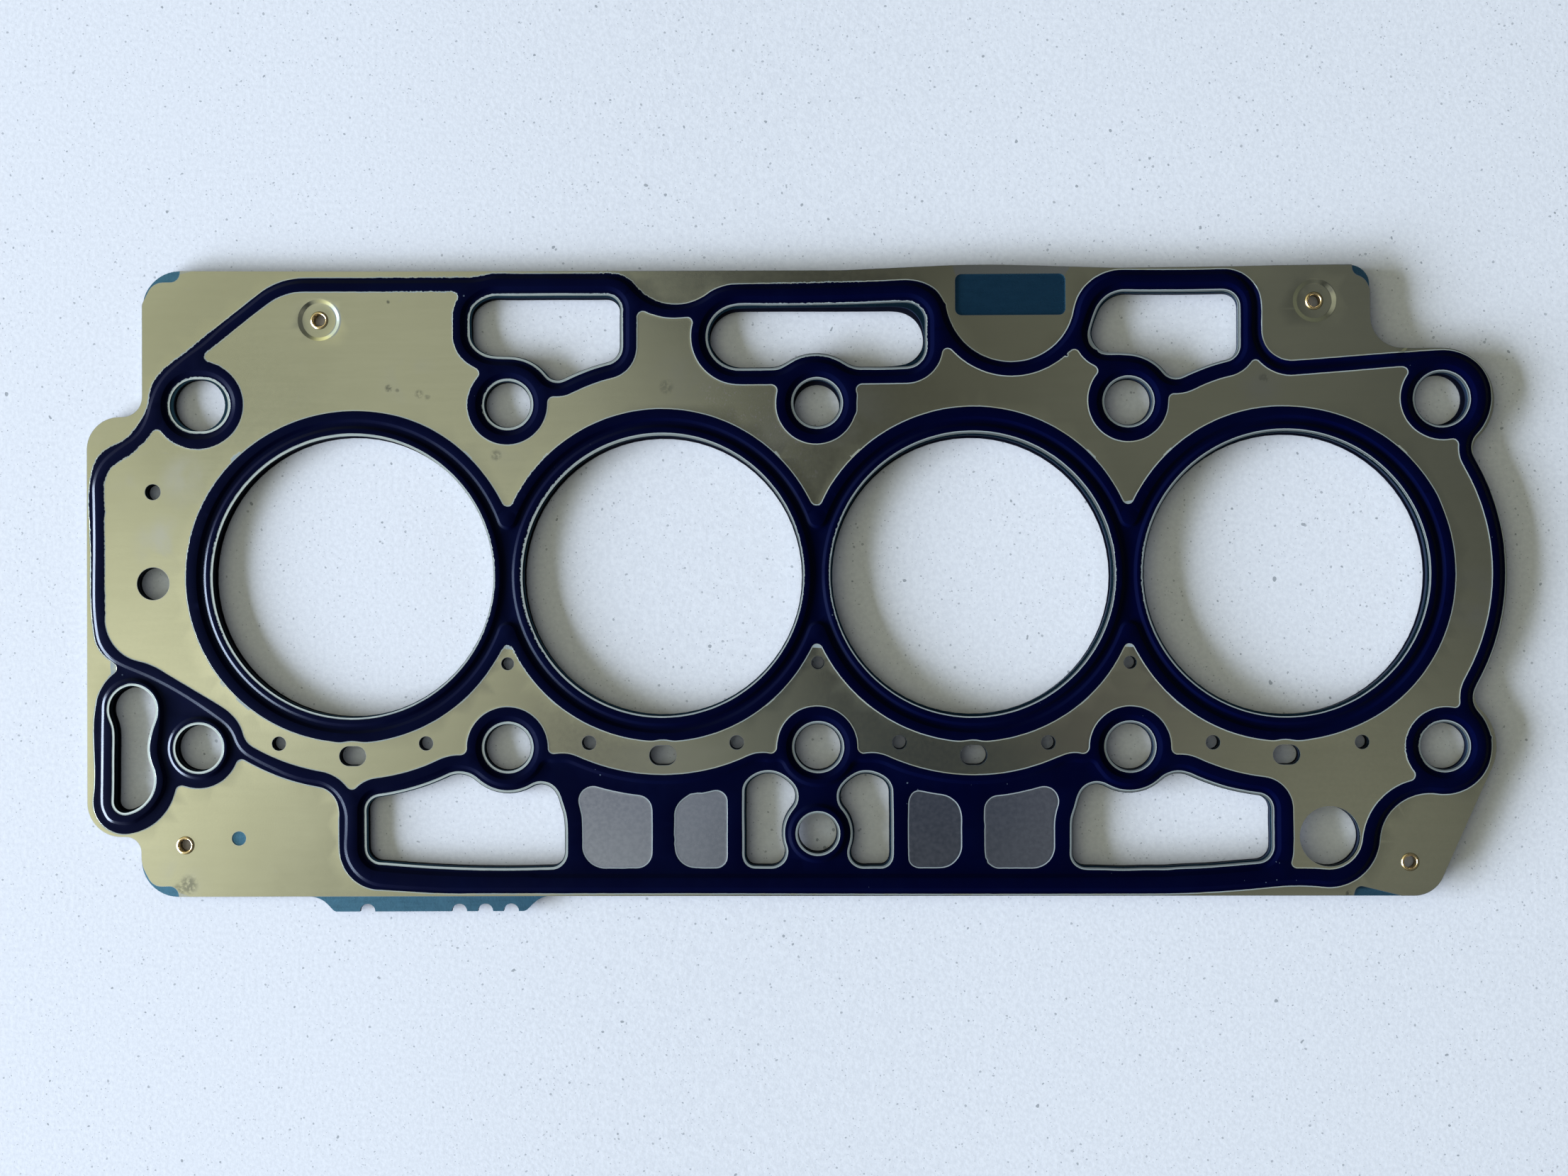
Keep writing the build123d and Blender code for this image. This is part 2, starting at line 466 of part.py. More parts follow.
def beaded_sheet(layer, z_contact, up):
    """Sheet of constant thickness pressed to two levels: low, on the carrier, and high, a bead away from it.

    Half beads join the levels. up is +1 for the sheet over the carrier and -1 for the one under it."""
    hole = openings(layer)
    d_lo, d_hi = HALF_SLOPE, -HALF_SLOPE
    field = biarc_loop(FIELD_BEAD)
    lower = biarc_loop(LOWER_BEAD)
    groove = groove_loop()
    slopes = []           # (foot, head)
    low = []              # (outer, inners)
    high = []

    # margin: low, from the outline in to the foot of the field bead
    edge = outline(CUT_TR + CORNERS_EDGE + CUT_TL + CORNERS_LEFT + CUT_BL + CUT_BR)
    margin = [offset(field, d_lo)]
    slopes.append((offset(field, d_lo), offset(field, d_hi)))
    bead_d = biarc_loop(SLOT_D_BEAD)
    d_foot, d_head = offset(bead_d, HALF_SLOPE_SHORT), offset(bead_d, -HALF_SLOPE_SHORT)
    slopes.append((d_foot, d_head))
    high.append((d_head, [hole["D"]]))
    b_foot, b_head = (circle(*ISLAND_BOLT, r) for r in ISLAND_BOLT_R)
    slopes.append((b_foot, b_head))
    high.append((b_head, [hole["bolt", ISLAND_BOLT[0], ISLAND_BOLT[1]]]))
    margin += [d_foot, b_foot]
    low_holes = ["eyelet_ur", "eyelet_ll", "eyelet_lr"]
    margin += [hole[n] for n in low_holes]
    if layer == 0:
        margin.append(circle(*BLIND_HOLE))
        x0, y0, x1, y1 = LABEL
        r = LABEL_R
        pi = math.pi
        margin.append([
            line(x0 + r, y0, x1 - r, y0), ("A", x1 - r, y0 + r, r, -pi / 2, 0.0),
            line(x1, y0 + r, x1, y1 - r), ("A", x1 - r, y1 - r, r, 0.0, pi / 2),
            line(x1 - r, y1, x0 + r, y1), ("A", x0 + r, y1 - r, r, pi / 2, pi),
            line(x0, y1 - r, x0, y0 + r), ("A", x0 + r, y0 + r, r, pi, 1.5 * pi),
        ])
        low_walls = margin[-2:]
    else:
        low_walls = []
    low.append((edge, margin))
    low_walls += [edge] + [hole[n] for n in low_holes]
    high_walls = [hole["D"], hole["bolt", ISLAND_BOLT[0], ISLAND_BOLT[1]]]

    # field: high, with low rims round most openings
    inner = []
    for name in "ABC":
        foot, head = (offset(SLOTS[name], d) for d in SLOT_SLOPE)
        slopes.append((foot, head))
        low.append((foot, [hole[name]]))
        low_walls.append(hole[name])
        inner.append(head)
    for x, y in BOLTS:
        if (x, y) == ISLAND_BOLT:
            continue
        foot, head = circle(x, y, BOLT_FLAT_R), circle(x, y, BOLT_SLOPE_R)
        slopes.append((foot, head))
        low.append((foot, [hole["bolt", x, y]]))
        low_walls.append(hole["bolt", x, y])
        inner.append(head)
    for name, base in (("dowel_l", obround(*DOWEL_L, DOWEL_L_R, DOWEL_L_STRAIGHT)),
                       ("dowel_r", circle(*DOWEL_R, DOWEL_R_R))):
        foot, head = offset(base, DOWEL_FLAT), offset(base, DOWEL_SLOPE)
        slopes.append((foot, head))
        low.append((foot, [hole[name]]))
        low_walls.append(hole[name])
        inner.append(head)
    x, y, seat = EYELETS["eyelet_ul"]
    foot, head = circle(x, y, seat[0]), circle(x, y, seat[1])
    slopes.append((foot, head))
    low.append((foot, [hole["eyelet_ul"]]))
    low_walls.append(hole["eyelet_ul"])
    inner.append(head)

    # groove round the four bores, with a raised rim at each
    g_lo, g_hi = offset(groove, -GROOVE_HALF), offset(groove, GROOVE_HALF)
    slopes.append((g_lo, g_hi))
    inner.append(g_hi)
    rims = []
    for i, (x, y) in enumerate(BORES):
        foot, head = circle(x, y, BORE_RIM_FOOT_R), circle(x, y, BORE_RIM_R)
        slopes.append((foot, head))
        rims.append(foot)
        high.append((head, [hole["bore%d" % i]]))
        high_walls.append(hole["bore%d" % i])
    low.append((g_lo, rims))

    # low zone with the windows and kidneys; the oil hole keeps a raised ring
    q_lo, q_hi = offset(lower, d_hi), offset(lower, d_lo)
    slopes.append((q_lo, q_hi))
    inner.append(q_hi)
    o_foot, o_head = (circle(*OIL_POS, r) for r in OIL_RING_R)
    slopes.append((o_foot, o_head))
    high.append((o_head, [hole["oil"]]))
    high_walls.append(hole["oil"])
    low.append((q_lo, [hole[n] for n in "EIFG"] + [o_foot]))
    low_walls += [hole[n] for n in "EIFG"]

    plain = [v for k, v in hole.items() if k[:5] in ("small", "obrou")]
    high.append((offset(field, d_hi), inner + plain))
    high_walls += plain

    def z(u):
        return z_contact + up * u

    faces = []
    for level, regions in ((0.0, low), (BEAD_H, high)):
        for outer, inners in regions:
            faces += [flat(outer, inners, z(level)), flat(outer, inners, z(level + SHEET_T))]
    for foot, head in slopes:
        for u in (0.0, SHEET_T):
            faces += slope(foot, head, z(u), z(u + BEAD_H))
    for loop in low_walls:
        faces += wall(loop, z(0.0), z(SHEET_T))
    for loop in high_walls:
        faces += wall(loop, z(BEAD_H), z(BEAD_H + SHEET_T))
    body = solid(faces)

    # raised corner beside slot C, open to the edge of the sheet, with a pressed seat for its eyelet
    corner = biarc_loop(CORNER_BEAD)
    foot, head = offset(corner, HALF_SLOPE_SHORT), offset(corner, -HALF_SLOPE_SHORT)
    x, y, seat = EYELETS["eyelet_ur"]
    rings = circle(x, y, seat[0]), circle(x, y, seat[1])

    def patch(u):
        return frustum(foot, head, z(u), z(u + BEAD_H)) - frustum(*rings, z(u), z(u + BEAD_H))

    raised = patch(SHEET_T) & prism(edge, [], z(SHEET_T), z(SHEET_T + BEAD_H))
    body = (body + raised) - patch(0.0)
    return body


def carrier():
    hole = openings(1)
    edge = outline(CORNERS_TOP + CORNERS_EDGE + CORNERS_TL + CORNERS_LEFT + CORNERS_BL + CORNERS_TAB + CORNERS_BR)
    plate = prism(edge, list(hole.values()), Z_BOTTOM, Z_TOP)
    for x, y in NOTCHES:
        plate -= Pos(x, y, (Z_BOTTOM + Z_TOP) / 2) * Cylinder(NOTCH_R, CARRIER_T + 1)
    return plate


def eyelet(x, y):
    """Rolled brass eyelet: a thin barrel with a rounded collar on each beaded sheet."""
    z0 = Z_BOTTOM - SHEET_T        # outer face of the bottom sheet
    z1 = Z_TOP + SHEET_T
    f = EYELET_FLANGE_T
    with BuildPart() as part:
        with BuildSketch(Plane.XZ):
            with BuildLine():
                Polyline((EYELET_BORE_R, z0 - f + 0.12), (EYELET_BORE_R, z1 + f - 0.12))
                ThreePointArc((EYELET_BORE_R, z1 + f - 0.12), (EYELET_BORE_R + 0.05, z1 + f - 0.03),
                              (EYELET_BORE_R + 0.2, z1 + f))
                Line((EYELET_BORE_R + 0.2, z1 + f), (EYELET_FLANGE_R - 0.2, z1 + f))
                ThreePointArc((EYELET_FLANGE_R - 0.2, z1 + f), (EYELET_FLANGE_R - 0.05, z1 + f - 0.05),
                              (EYELET_FLANGE_R, z1))
                Polyline((EYELET_FLANGE_R, z1), (EYELET_R, z1), (EYELET_R, z0), (EYELET_FLANGE_R, z0))
                ThreePointArc((EYELET_FLANGE_R, z0), (EYELET_FLANGE_R - 0.05, z0 - f + 0.05),
                              (EYELET_FLANGE_R - 0.2, z0 - f))
                Line((EYELET_FLANGE_R - 0.2, z0 - f), (EYELET_BORE_R + 0.2, z0 - f))
                ThreePointArc((EYELET_BORE_R + 0.2, z0 - f), (EYELET_BORE_R + 0.05, z0 - f + 0.03),
                              (EYELET_BORE_R, z0 - f + 0.12))
            make_face()
        revolve(axis=Axis.Z)
    return Pos(x, y, 0) * part.part


def save(shape, name):
    if isinstance(shape, Compound) or isinstance(shape, Part):
        solids = shape.solids()
        assert len(solids) == 1, (name, len(solids))
        shape = solids[0]
    bb = shape.bounding_box()
    print(name, "volume %.1f" % shape.volume, "valid", shape.is_valid, "faces", len(shape.faces()),
          "box", [round(v, 2) for v in (*bb.min, *bb.max)], flush=True)
    export_step(shape, "parts/%s.step" % name)


save(carrier(), "carrier_layer")
for node, (ex, ey, _) in EYELETS.items():
    save(eyelet(ex, ey), node)
save(beaded_sheet(0, Z_TOP, 1), "top_layer")
save(beaded_sheet(2, Z_BOTTOM, -1), "bottom_layer")
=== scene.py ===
import math

import bpy
import numpy as np
from mathutils import Matrix, Vector, geometry, kdtree


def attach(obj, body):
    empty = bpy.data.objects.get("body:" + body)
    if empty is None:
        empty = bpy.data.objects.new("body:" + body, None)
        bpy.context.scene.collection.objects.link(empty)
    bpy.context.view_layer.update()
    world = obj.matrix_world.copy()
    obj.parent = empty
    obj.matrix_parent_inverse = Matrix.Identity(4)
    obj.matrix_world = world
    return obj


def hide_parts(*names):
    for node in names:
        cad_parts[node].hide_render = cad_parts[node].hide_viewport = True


# Looks of a multi-layer steel cylinder head gasket. Lengths in the tables are millimetres in the row frame.
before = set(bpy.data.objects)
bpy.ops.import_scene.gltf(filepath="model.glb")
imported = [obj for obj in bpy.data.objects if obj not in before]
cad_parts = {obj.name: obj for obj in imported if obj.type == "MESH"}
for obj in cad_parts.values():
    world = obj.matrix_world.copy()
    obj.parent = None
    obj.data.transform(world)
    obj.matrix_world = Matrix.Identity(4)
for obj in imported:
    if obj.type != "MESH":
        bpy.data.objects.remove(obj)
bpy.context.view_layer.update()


# ---- dimensions shared with the CAD --------------------------------------------------------------------
PITCH = 85.0
ROW = 47.06
SHEET_T = 0.25
BEAD_H = 0.45
Z_TOP = 1.7
HALF_SLOPE = 0.65
HALF_SLOPE_SHORT = 0.6
BORE_CUTS = [(-127.45, -0.15, 38.7), (-42.4, -0.1, 38.4), (42.1, -0.1, 38.6), (127.35, -0.05, 38.8)]
BORE_RIM_R, BORE_RIM_FOOT_R = 40.4, 41.5
GROOVE_R, GROOVE_HALF, APEX_R = 42.75, 0.55, 2.5
BOLT_R, BOLT_FLAT_R, BOLT_SLOPE_R = 6.46, 7.4, 8.9
ISLAND_BOLT_R = (8.85, 7.75)
OIL_R, OIL_RING_R, OIL_POS = 5.45, (8.3, 7.1), (-0.15, -70.55)
DOWEL_L, DOWEL_L_R, DOWEL_L_STRAIGHT = (-170.25, 47.25), 7.2, 1.8
DOWEL_R, DOWEL_R_R = (169.95, 47.35), 7.25
DOWEL_FLAT, DOWEL_SLOPE = 0.95, 2.45
EYELETS = {
    "eyelet_ul": (-136.9, 70.5, (4.6, 5.9)),
    "eyelet_ur": (135.6, 74.3, (4.5, 6.15)),
    "eyelet_ll": (-173.75, -73.75, None),
    "eyelet_lr": (160.5, -78.4, None),
}
EYELET_HOLE_R = 2.05
SMALL_HOLES = [
    (-182.76, 23.31, 2.2), (-182.58, -1.9, 4.5), (138.79, -71.43, 8.15),
    (-147.8, -45.86, 1.95), (-107.3, -45.85, 1.95), (-62.6, -45.76, 1.95), (-22.2, -45.72, 1.95),
    (22.2, -45.76, 1.95), (62.7, -45.86, 1.95), (107.3, -45.88, 1.95), (147.6, -45.84, 1.95),
    (-84.9, -24.1, 1.75), (0.0, -24.0, 1.75), (85.0, -24.1, 1.75),
]
OBROUNDS = [(-127.5, -49.3), (-42.4, -49.2), (42.4, -49.25), (127.2, -49.25)]
OBROUND_R, OBROUND_STRAIGHT = 2.72, 1.95
BLIND_HOLE = (-158.99, -71.89, 1.95)
LABEL = (37.9, 70.9, 68.0, 82.2)
LABEL_R = 1.75
SLOT_SLOPE = (1.25, 2.65)

# curves: x, y, heading in degrees; neighbours are joined by two tangent arcs
FIELD_BEAD = [  # mid line of the long bead round the whole oil and water field
    (-106.05, 81, -179.8), (-136.03, 81.13, 179.4), (-145.49, 80.6, -166.7), (-161.46, 70.45, -142.7),
    (-171.09, 62.47, -145.7), (-182.52, 50.59, -112.4), (-185.6, 41.56, -118.1), (-194.94, 33.38, -140),
    (-199.03, 11.95, -89.4), (-199.08, -5.43, -89.7), (-192.62, -23.53, -28.1), (-186.59, -26.17, -22.4),
    (-164.41, -39.07, -36.5), (-163.45, -39.79, -36.6), (-156.31, -49.09, -31), (-147.77, -53.43, -25.2),
    (-130.55, -61.5, -63.4), (-129.3, -66.67, -89.9), (-128.23, -78.99, -61.2), (-108.31, -85.47, -1.7),
    (-101.75, -85.81, -0.1), (-24.46, -85.78, -0.3), (52.25, -85.9, 0), (121.03, -84.24, 5.7), (131.74, -83.61, -0),
    (141.23, -83.76, 12.1), (160.44, -59.61, 21.8), (175.02, -57.65, 25.5), (179.22, -39.79, 124.8),
    (177.76, -37.9, 122.5), (181.39, -21.84, 68.8), (181.29, 22.99, 111.6), (177.88, 37.86, 55.5),
    (179.44, 39.67, 52.4), (181.62, 51.53, 106.7), (167.87, 59.33, -169.8), (166.71, 59.06, -168.3),
    (143.05, 56.62, -175.7), (119.93, 61.69, 111.7), (119.01, 72.93, 90.7), (116.52, 79.48, 131.7),
    (102.95, 81.96, -180), (71.5, 72.68, -103.6), (70.83, 69.78, -107.8), (37.78, 64.56, 127), (29.94, 78.17, 151),
    (23.62, 79.55, -178.1), (-15.88, 78.79, -179.8), (-24.82, 78.34, -166.9), (-34.49, 73.8, -165.6),
    (-48.57, 76.65, 140), (-53.97, 81.24, 160.6), (-62.84, 81.82, 178.2), (-86.81, 82.08, 178.9), (-95.65, 81, -180),
]
LOWER_BEAD = [  # mid line of the bead round the pushrod-side windows
    (-66.91, -82.1, 0), (21.29, -82.1, 0), (87.24, -81.85, 1), (95.6, -81.78, 2.9), (117.6, -80.34, 5.3),
    (121.12, -79.8, 19.8), (125.1, -65.36, 89.6), (124.99, -62.98, 101.4), (111.41, -56.58, 165.1),
    (93.29, -53.65, -148.1), (90.94, -55.5, -143.5), (80.16, -56.53, 156.4), (76.35, -52.86, 126),
    (75.75, -51.84, 119.9), (70.81, -50.9, 173.6), (61.77, -53.5, -160.9), (27.25, -54.74, 165.4),
    (24.37, -53.95, 162), (13.6, -50.83, -175.6), (9.63, -51.38, -138), (8.65, -52.86, -123.7),
    (-8.58, -52.97, 124.5), (-9.91, -51.02, 142.1), (-13.35, -50.78, 179.5), (-15.13, -50.61, 180),
    (-20.24, -52.09, -156.9), (-64.4, -52.36, 158.1), (-69.47, -50.71, 176.9), (-72.44, -50.82, 178),
    (-74.19, -50.71, -169.2), (-77.27, -54.11, -131.6), (-91.33, -55.32, 143.9), (-94.24, -53.23, 153.7),
    (-110.7, -56.3, -163.4), (-125.7, -64.09, -90.8), (-125.7, -67.09, -89.9), (-122.51, -79.65, -28.1),
    (-117.28, -80.57, -5), (-79.67, -81.84, 1), (-76.11, -82.12, 0.8),
]
CORNER_BEAD = [  # mid line of the bead round the raised corner beside slot C
    (161, 71, 90), (161, 89, 90), (158, 92, 180), (123.09, 91.99, -180), (119.61, 90.95, -107.4),
    (119.5, 89.17, -90.1), (119.51, 81.97, -89.5), (119.93, 76.66, -68.2), (120.7, 68.39, -89.7),
    (120.88, 64.21, -78.9), (144.72, 58.35, 3.3), (150.05, 58.71, -1.9), (156.9, 59.25, 7), (160.9, 63.2, 88),
]
SLOT_D_BEAD = [  # mid line of the bead round slot D
    (-188.35, -28.15, 180), (-196.5, -35.8, -91), (-196.63, -45, -90.2), (-196.7, -56, -90.4),
    (-196.75, -61.8, -88.5), (-195.45, -65.8, -58), (-190.6, -67.75, -3), (-184.1, -64.9, 38), (-180.4, -60.2, 62),
    (-179.3, -56, 88), (-180.2, -51.4, 105), (-180.95, -47.3, 90.5), (-180.6, -43.5, 84), (-180.15, -37, 90),
]
SLOT_A = [  # water slot A, over bolt column 2
    (-74.89, 76.95, -179.7), (-79.69, 76.95, -179.5), (-93.94, 74.4, -134.3), (-95.43, 69.39, -87.6),
    (-94.49, 63.58, -55.6), (-88.97, 60.37, -6.8), (-83.61, 60.1, -4.7), (-75.18, 56.05, -47.5),
    (-73.54, 54.31, -35.3), (-65.19, 55.89, 22.5), (-58.38, 58.17, 14.3), (-56.12, 58.94, 31), (-53.83, 68.3, 90.3),
    (-55.48, 76.12, 144.1), (-60.7, 76.89, 179.8),
]
SLOT_B = [  # long water slot B, over bolt column 3
    (-10.63, 73.88, -179.9), (-14.82, 73.9, 177.9), (-26.88, 71.76, -140.3), (-28.01, 59.94, -51.5),
    (-12.85, 56.71, 0.4), (-3.45, 60.27, 12.3), (3.06, 60.18, -13.6), (12.51, 56.76, 1.3), (17.3, 56.72, 0.2),
    (29.38, 60.69, 72.5), (29.65, 63.66, 90.2), (27.31, 73.64, 146.8), (22.09, 74.51, -177.7),
]
SLOT_C = [  # water slot C, over bolt column 4
    (97.33, 76.97, 179.9), (88.94, 77.02, 179.3), (80.16, 76.05, -149.9), (74.87, 67, -104.3), (76.05, 62.35, -52),
    (80.95, 60.48, 1.3), (91.34, 58.34, -31.5), (98.62, 53.76, 9.1), (100.85, 54.61, 24.1), (110.41, 58.07, 14.8),
    (112.69, 58.77, 27.6), (114.92, 67.52, 89.5), (112.45, 76.7, 155.6), (108.92, 77.06, -179),
]
SLOT_D = [  # waisted slot D at the low left corner
    (-193.3, -52.75, -89.6), (-193.3, -56.35, -90.3), (-190.93, -64.73, -12), (-188.6, -64.43, 19.2),
    (-183.26, -59.88, 62.3), (-183.76, -44.18, 77), (-182.03, -34.91, 104.2), (-186.36, -30.29, 160.3),
    (-189.87, -30.07, -162.3), (-194.47, -34.44, -107.9), (-193.24, -43.75, -90),
]
SLOT_E = [  # large window E
    (-86.34, -80.04, -0.1), (-74.36, -79.83, 1.5), (-71.43, -79.4, 27), (-69.17, -70.68, 90.2), (-69.92, -64.17, 108),
    (-72.2, -58.68, 129.6), (-86.17, -59.33, 173.7), (-100.95, -54.63, -158.7), (-102.05, -55.12, -155.1),
    (-119.21, -60.17, -171.5), (-120.98, -60.47, -164.1), (-123.81, -70.53, -90.1), (-122.01, -77.74, -34.9),
    (-117.39, -78.63, -5.1),
]
SLOT_I = [  # large window I
    (90.92, -79.98, -0.9), (102.27, -79.51, 1.8), (118.34, -78.36, 4.3), (120.67, -77.93, 22.6),
    (123.22, -68.8, 91.8), (121.58, -60.94, 142.7), (117.6, -59.86, 171.1), (102.69, -55.55, 155.9),
    (99.33, -54.31, 168.8), (87.5, -59.14, -167.2), (71.56, -59.62, -118.7), (69.82, -64.71, -110.3),
    (69.1, -73, -90.3), (69.02, -75.99, -90.4), (80.54, -80.08, -2.4),
]
SLOT_F = [  # kidney F
    (-20.16, -71.56, -90.4), (-20.16, -73.96, -90.3), (-19.68, -78.06, -61.3), (-14.23, -79.54, -0.2),
    (-11.85, -79.38, 15.6), (-8.79, -66.04, 64.6), (-6.05, -60.82, 86.1), (-10.32, -54.83, 151.1),
    (-18.65, -55.92, -137.9), (-20.2, -63.27, -91),
]
SLOT_G = [  # kidney G
    (19.89, -69.8, 90.3), (19.88, -64.4, 90.9), (17.72, -55.53, 146.2), (9.8, -54.92, -149.6), (5.67, -61, -84.8),
    (8.46, -66.21, -65.6), (11.51, -79.46, -11.9), (14.49, -79.52, 0.2), (19.01, -78.58, 47.8), (19.9, -74.6, 91),
]
PRINT_OUT = [  # outer edge of the seal print along the perimeter
    (31.06, -86.98, -0.1), (91.59, -86.93, 0.2), (124.4, -85.02, 5.9), (147.93, -81.48, 43.5), (156.83, -63.13, 41),
    (178.92, -56.33, 44.2), (182.61, -47.95, 87.7), (182.57, -45.57, 97.2), (182.67, -44.67, 91),
    (182.29, -44, 101.6), (181.76, -42.31, 109.7), (177.68, -33.29, 83.6), (179.14, -29.41, 61.2),
    (186.49, 4.94, 94.2), (186.42, 6.08, 89.9), (186.08, 9.5, 98.3), (184.23, 17.87, 105.3), (183.26, 20.83, 108.4),
    (181.56, 25.21, 114.2), (178.82, 37.2, 53.8), (179.61, 38.1, 48.5), (176.58, 59.07, 153.1),
    (162.55, 60.15, -175.6), (146.51, 58.98, -175.6), (121.06, 65.56, 93.5), (120.84, 74.54, 97.2),
    (93.19, 82.91, 179.4), (75.09, 80.14, -142), (66.24, 63.69, -132), (44.45, 60.15, 151.4), (35.32, 72.98, 101.2),
    (35.26, 73.89, 101.4), (34.82, 74.41, 117.4), (31.68, 78.44, 145.9), (23.11, 80.55, -177), (-22.1, 79.69, -179.3),
    (-37.99, 74.21, -177.1), (-47.91, 77.55, 139.5), (-52.72, 81.91, 153.9), (-61.57, 82.83, 179.3),
    (-87.14, 83.01, 179), (-96.56, 81.89, 179.8), (-141.31, 82.07, 179.9), (-164.75, 69.13, -141.9),
    (-176.47, 59.85, -144.4), (-182.13, 54.54, -125.7), (-185.45, 44.4, -119.5), (-192.15, 36.91, -151.9),
    (-195.91, 35.03, -148.5), (-200.31, 25.61, -96.5), (-200.17, 11.83, -86.8), (-199.76, -9.76, -86.1),
    (-195.36, -22.31, -36.1), (-192.91, -25.84, -115.9), (-194.16, -27.09, -138.7), (-199.13, -43.75, -88.2),
    (-198.79, -56.94, -92.1), (-199.22, -62.23, -87.8), (-177.03, -59.97, 73.1), (-175.72, -57.44, 24.9),
    (-172.84, -57.71, -13.8), (-160.88, -52.98, 57.9), (-158.28, -50.08, -1), (-156.66, -50.73, -29.2),
    (-145.73, -55.55, -18), (-131.64, -62.67, -75.3), (-131.32, -68.03, -89.5), (-129.37, -80.85, -57.1),
    (-109.58, -86.52, -3.7), (-83.26, -86.85, -0.2), (-21.61, -86.86, -0.3),
]
PRINT_IN = [  # inner edge of that print, round the bare field
    (-129.79, 78.35, 179.7), (-151.2, 75.07, -143.3), (-165.77, 63.71, -142.3), (-168.53, 59.79, -60.6),
    (-165.97, 58.46, -20.2), (-160.27, 54.24, -53), (-177.36, 37.29, 147.1), (-182.99, 40.1, -128.5),
    (-186.04, 36.48, -139.6), (-186.54, 36.22, -137), (-187.64, 34.91, -140.3), (-193.58, 30.9, -140.3),
    (-194.71, 29.95, -122), (-196.47, 23.81, -85.7), (-196.19, 18.54, -81.7), (-196.4, 15.19, -88.1),
    (-196.18, -2.78, -90), (-196.08, -4.55, -80.9), (-196.05, -7.3, -74.9), (-195.96, -9.49, -73.4),
    (-196.08, -11.11, -91.3), (-192.32, -20.26, -44.6), (-180.54, -25.71, -31.2), (-167.7, -33.36, -30.4),
    (-160.01, -38.96, -50.3), (-155.03, -46.88, -29.4), (-143.53, -51.86, -17), (-129.84, -57.11, -48.1),
    (-128.56, -58.34, -29.2), (-124.48, -56.54, 30.1), (-119.32, -55.16, 8.3), (-108.91, -52.56, 19.8),
    (-98.76, -49.19, 2.1), (-97.56, -49.13, 11.9), (-95.62, -43.97, 73.7), (-74.04, -46.02, -84.6),
    (-73.59, -48.29, -49.1), (-70.22, -48.7, 2.2), (-61.71, -51.24, -19.8), (-24.81, -51.74, 18.5),
    (-14.06, -48.68, -6), (-12.89, -48.84, 1.3), (-10.66, -43.92, 74.9), (10.44, -44.86, -79), (11.56, -48.68, -31.4),
    (13.88, -48.74, 4.2), (19.08, -49.69, -24.3), (63.51, -50.66, 22.4), (70.3, -48.79, -3.3), (72.62, -48.95, 18.9),
    (74.35, -44.22, 74.7), (95.83, -45.95, -84.2), (96.13, -48.29, -63.3), (99.92, -49.37, -7.4),
    (106.63, -51.78, -21.2), (128.74, -63.84, -89), (128.71, -75.23, -92.9), (129.2, -80.03, -18.5),
    (130.98, -80.15, -0), (137.57, -80.44, -5.3), (156.55, -58.23, 30.2), (161.81, -53.96, 118.6),
    (160.84, -52.45, 120.1), (170.54, -36.52, -1.6), (173.87, -36.13, 55.4), (174.15, -33.82, 90),
    (177.71, -24.43, 64.9), (176.8, 26.98, 117.4), (174.48, 32.46, 97.8), (173.54, 36.31, 149.6),
    (171.22, 36.38, -174.8), (159.2, 50.75, 72.6), (160.09, 55.99, 150.7), (157.77, 56.24, -175.7),
    (139.25, 54.8, -176), (121.91, 56.64, 141.1), (118.98, 58.29, -161.9), (117.68, 57.12, -128.7),
    (106.44, 52.06, -158), (98.61, 49.24, -175.5), (96.3, 48.9, -143.4), (95.57, 46.15, -94.4), (74.68, 43.37, 109.7),
    (75.56, 53.13, 59.6), (76.75, 55.73, 102.6), (74.11, 57.97, 143.1), (69.14, 61.07, -140.2), (68.13, 59.93, -98.3),
    (68.34, 59.7, -94.4), (68.12, 59.53, 178), (67.72, 59.65, -166.6), (66.79, 59.02, -141.5), (37.87, 60.53, 135.3),
    (36.55, 61.74, 149), (32.36, 56.5, -126.2), (14.51, 52.34, -179.6), (10.74, 51.35, -117.4), (10.78, 48.52, -97.1),
    (10.7, 45, -90.9), (9.95, 42.98, -110.5), (-11.13, 46.81, 90), (-11.97, 52.15, 163.7), (-13.75, 52.24, -179.6),
    (-28.32, 54.37, 147.4), (-34.24, 67.24, 82.2), (-34.16, 70.12, 122.6), (-37.47, 70.69, -175.1),
    (-46.23, 72.13, 156.8), (-47.34, 72.56, 168.2), (-49.5, 66.26, -90.9), (-50.04, 59.73, -109.1),
    (-64.99, 51.22, -155.6), (-70.6, 49.24, -176.7), (-73.46, 48.76, -138.7), (-74.12, 45.96, -95.8),
    (-95.19, 43.15, 110), (-93.75, 53.41, 54.8), (-92.65, 56.02, 108.7), (-94.9, 57.85, 148.4),
    (-98.93, 62.16, 115.2), (-99.8, 70.99, 91.5), (-99.83, 78.31, 172), (-101.03, 78.34, 179.4),
]
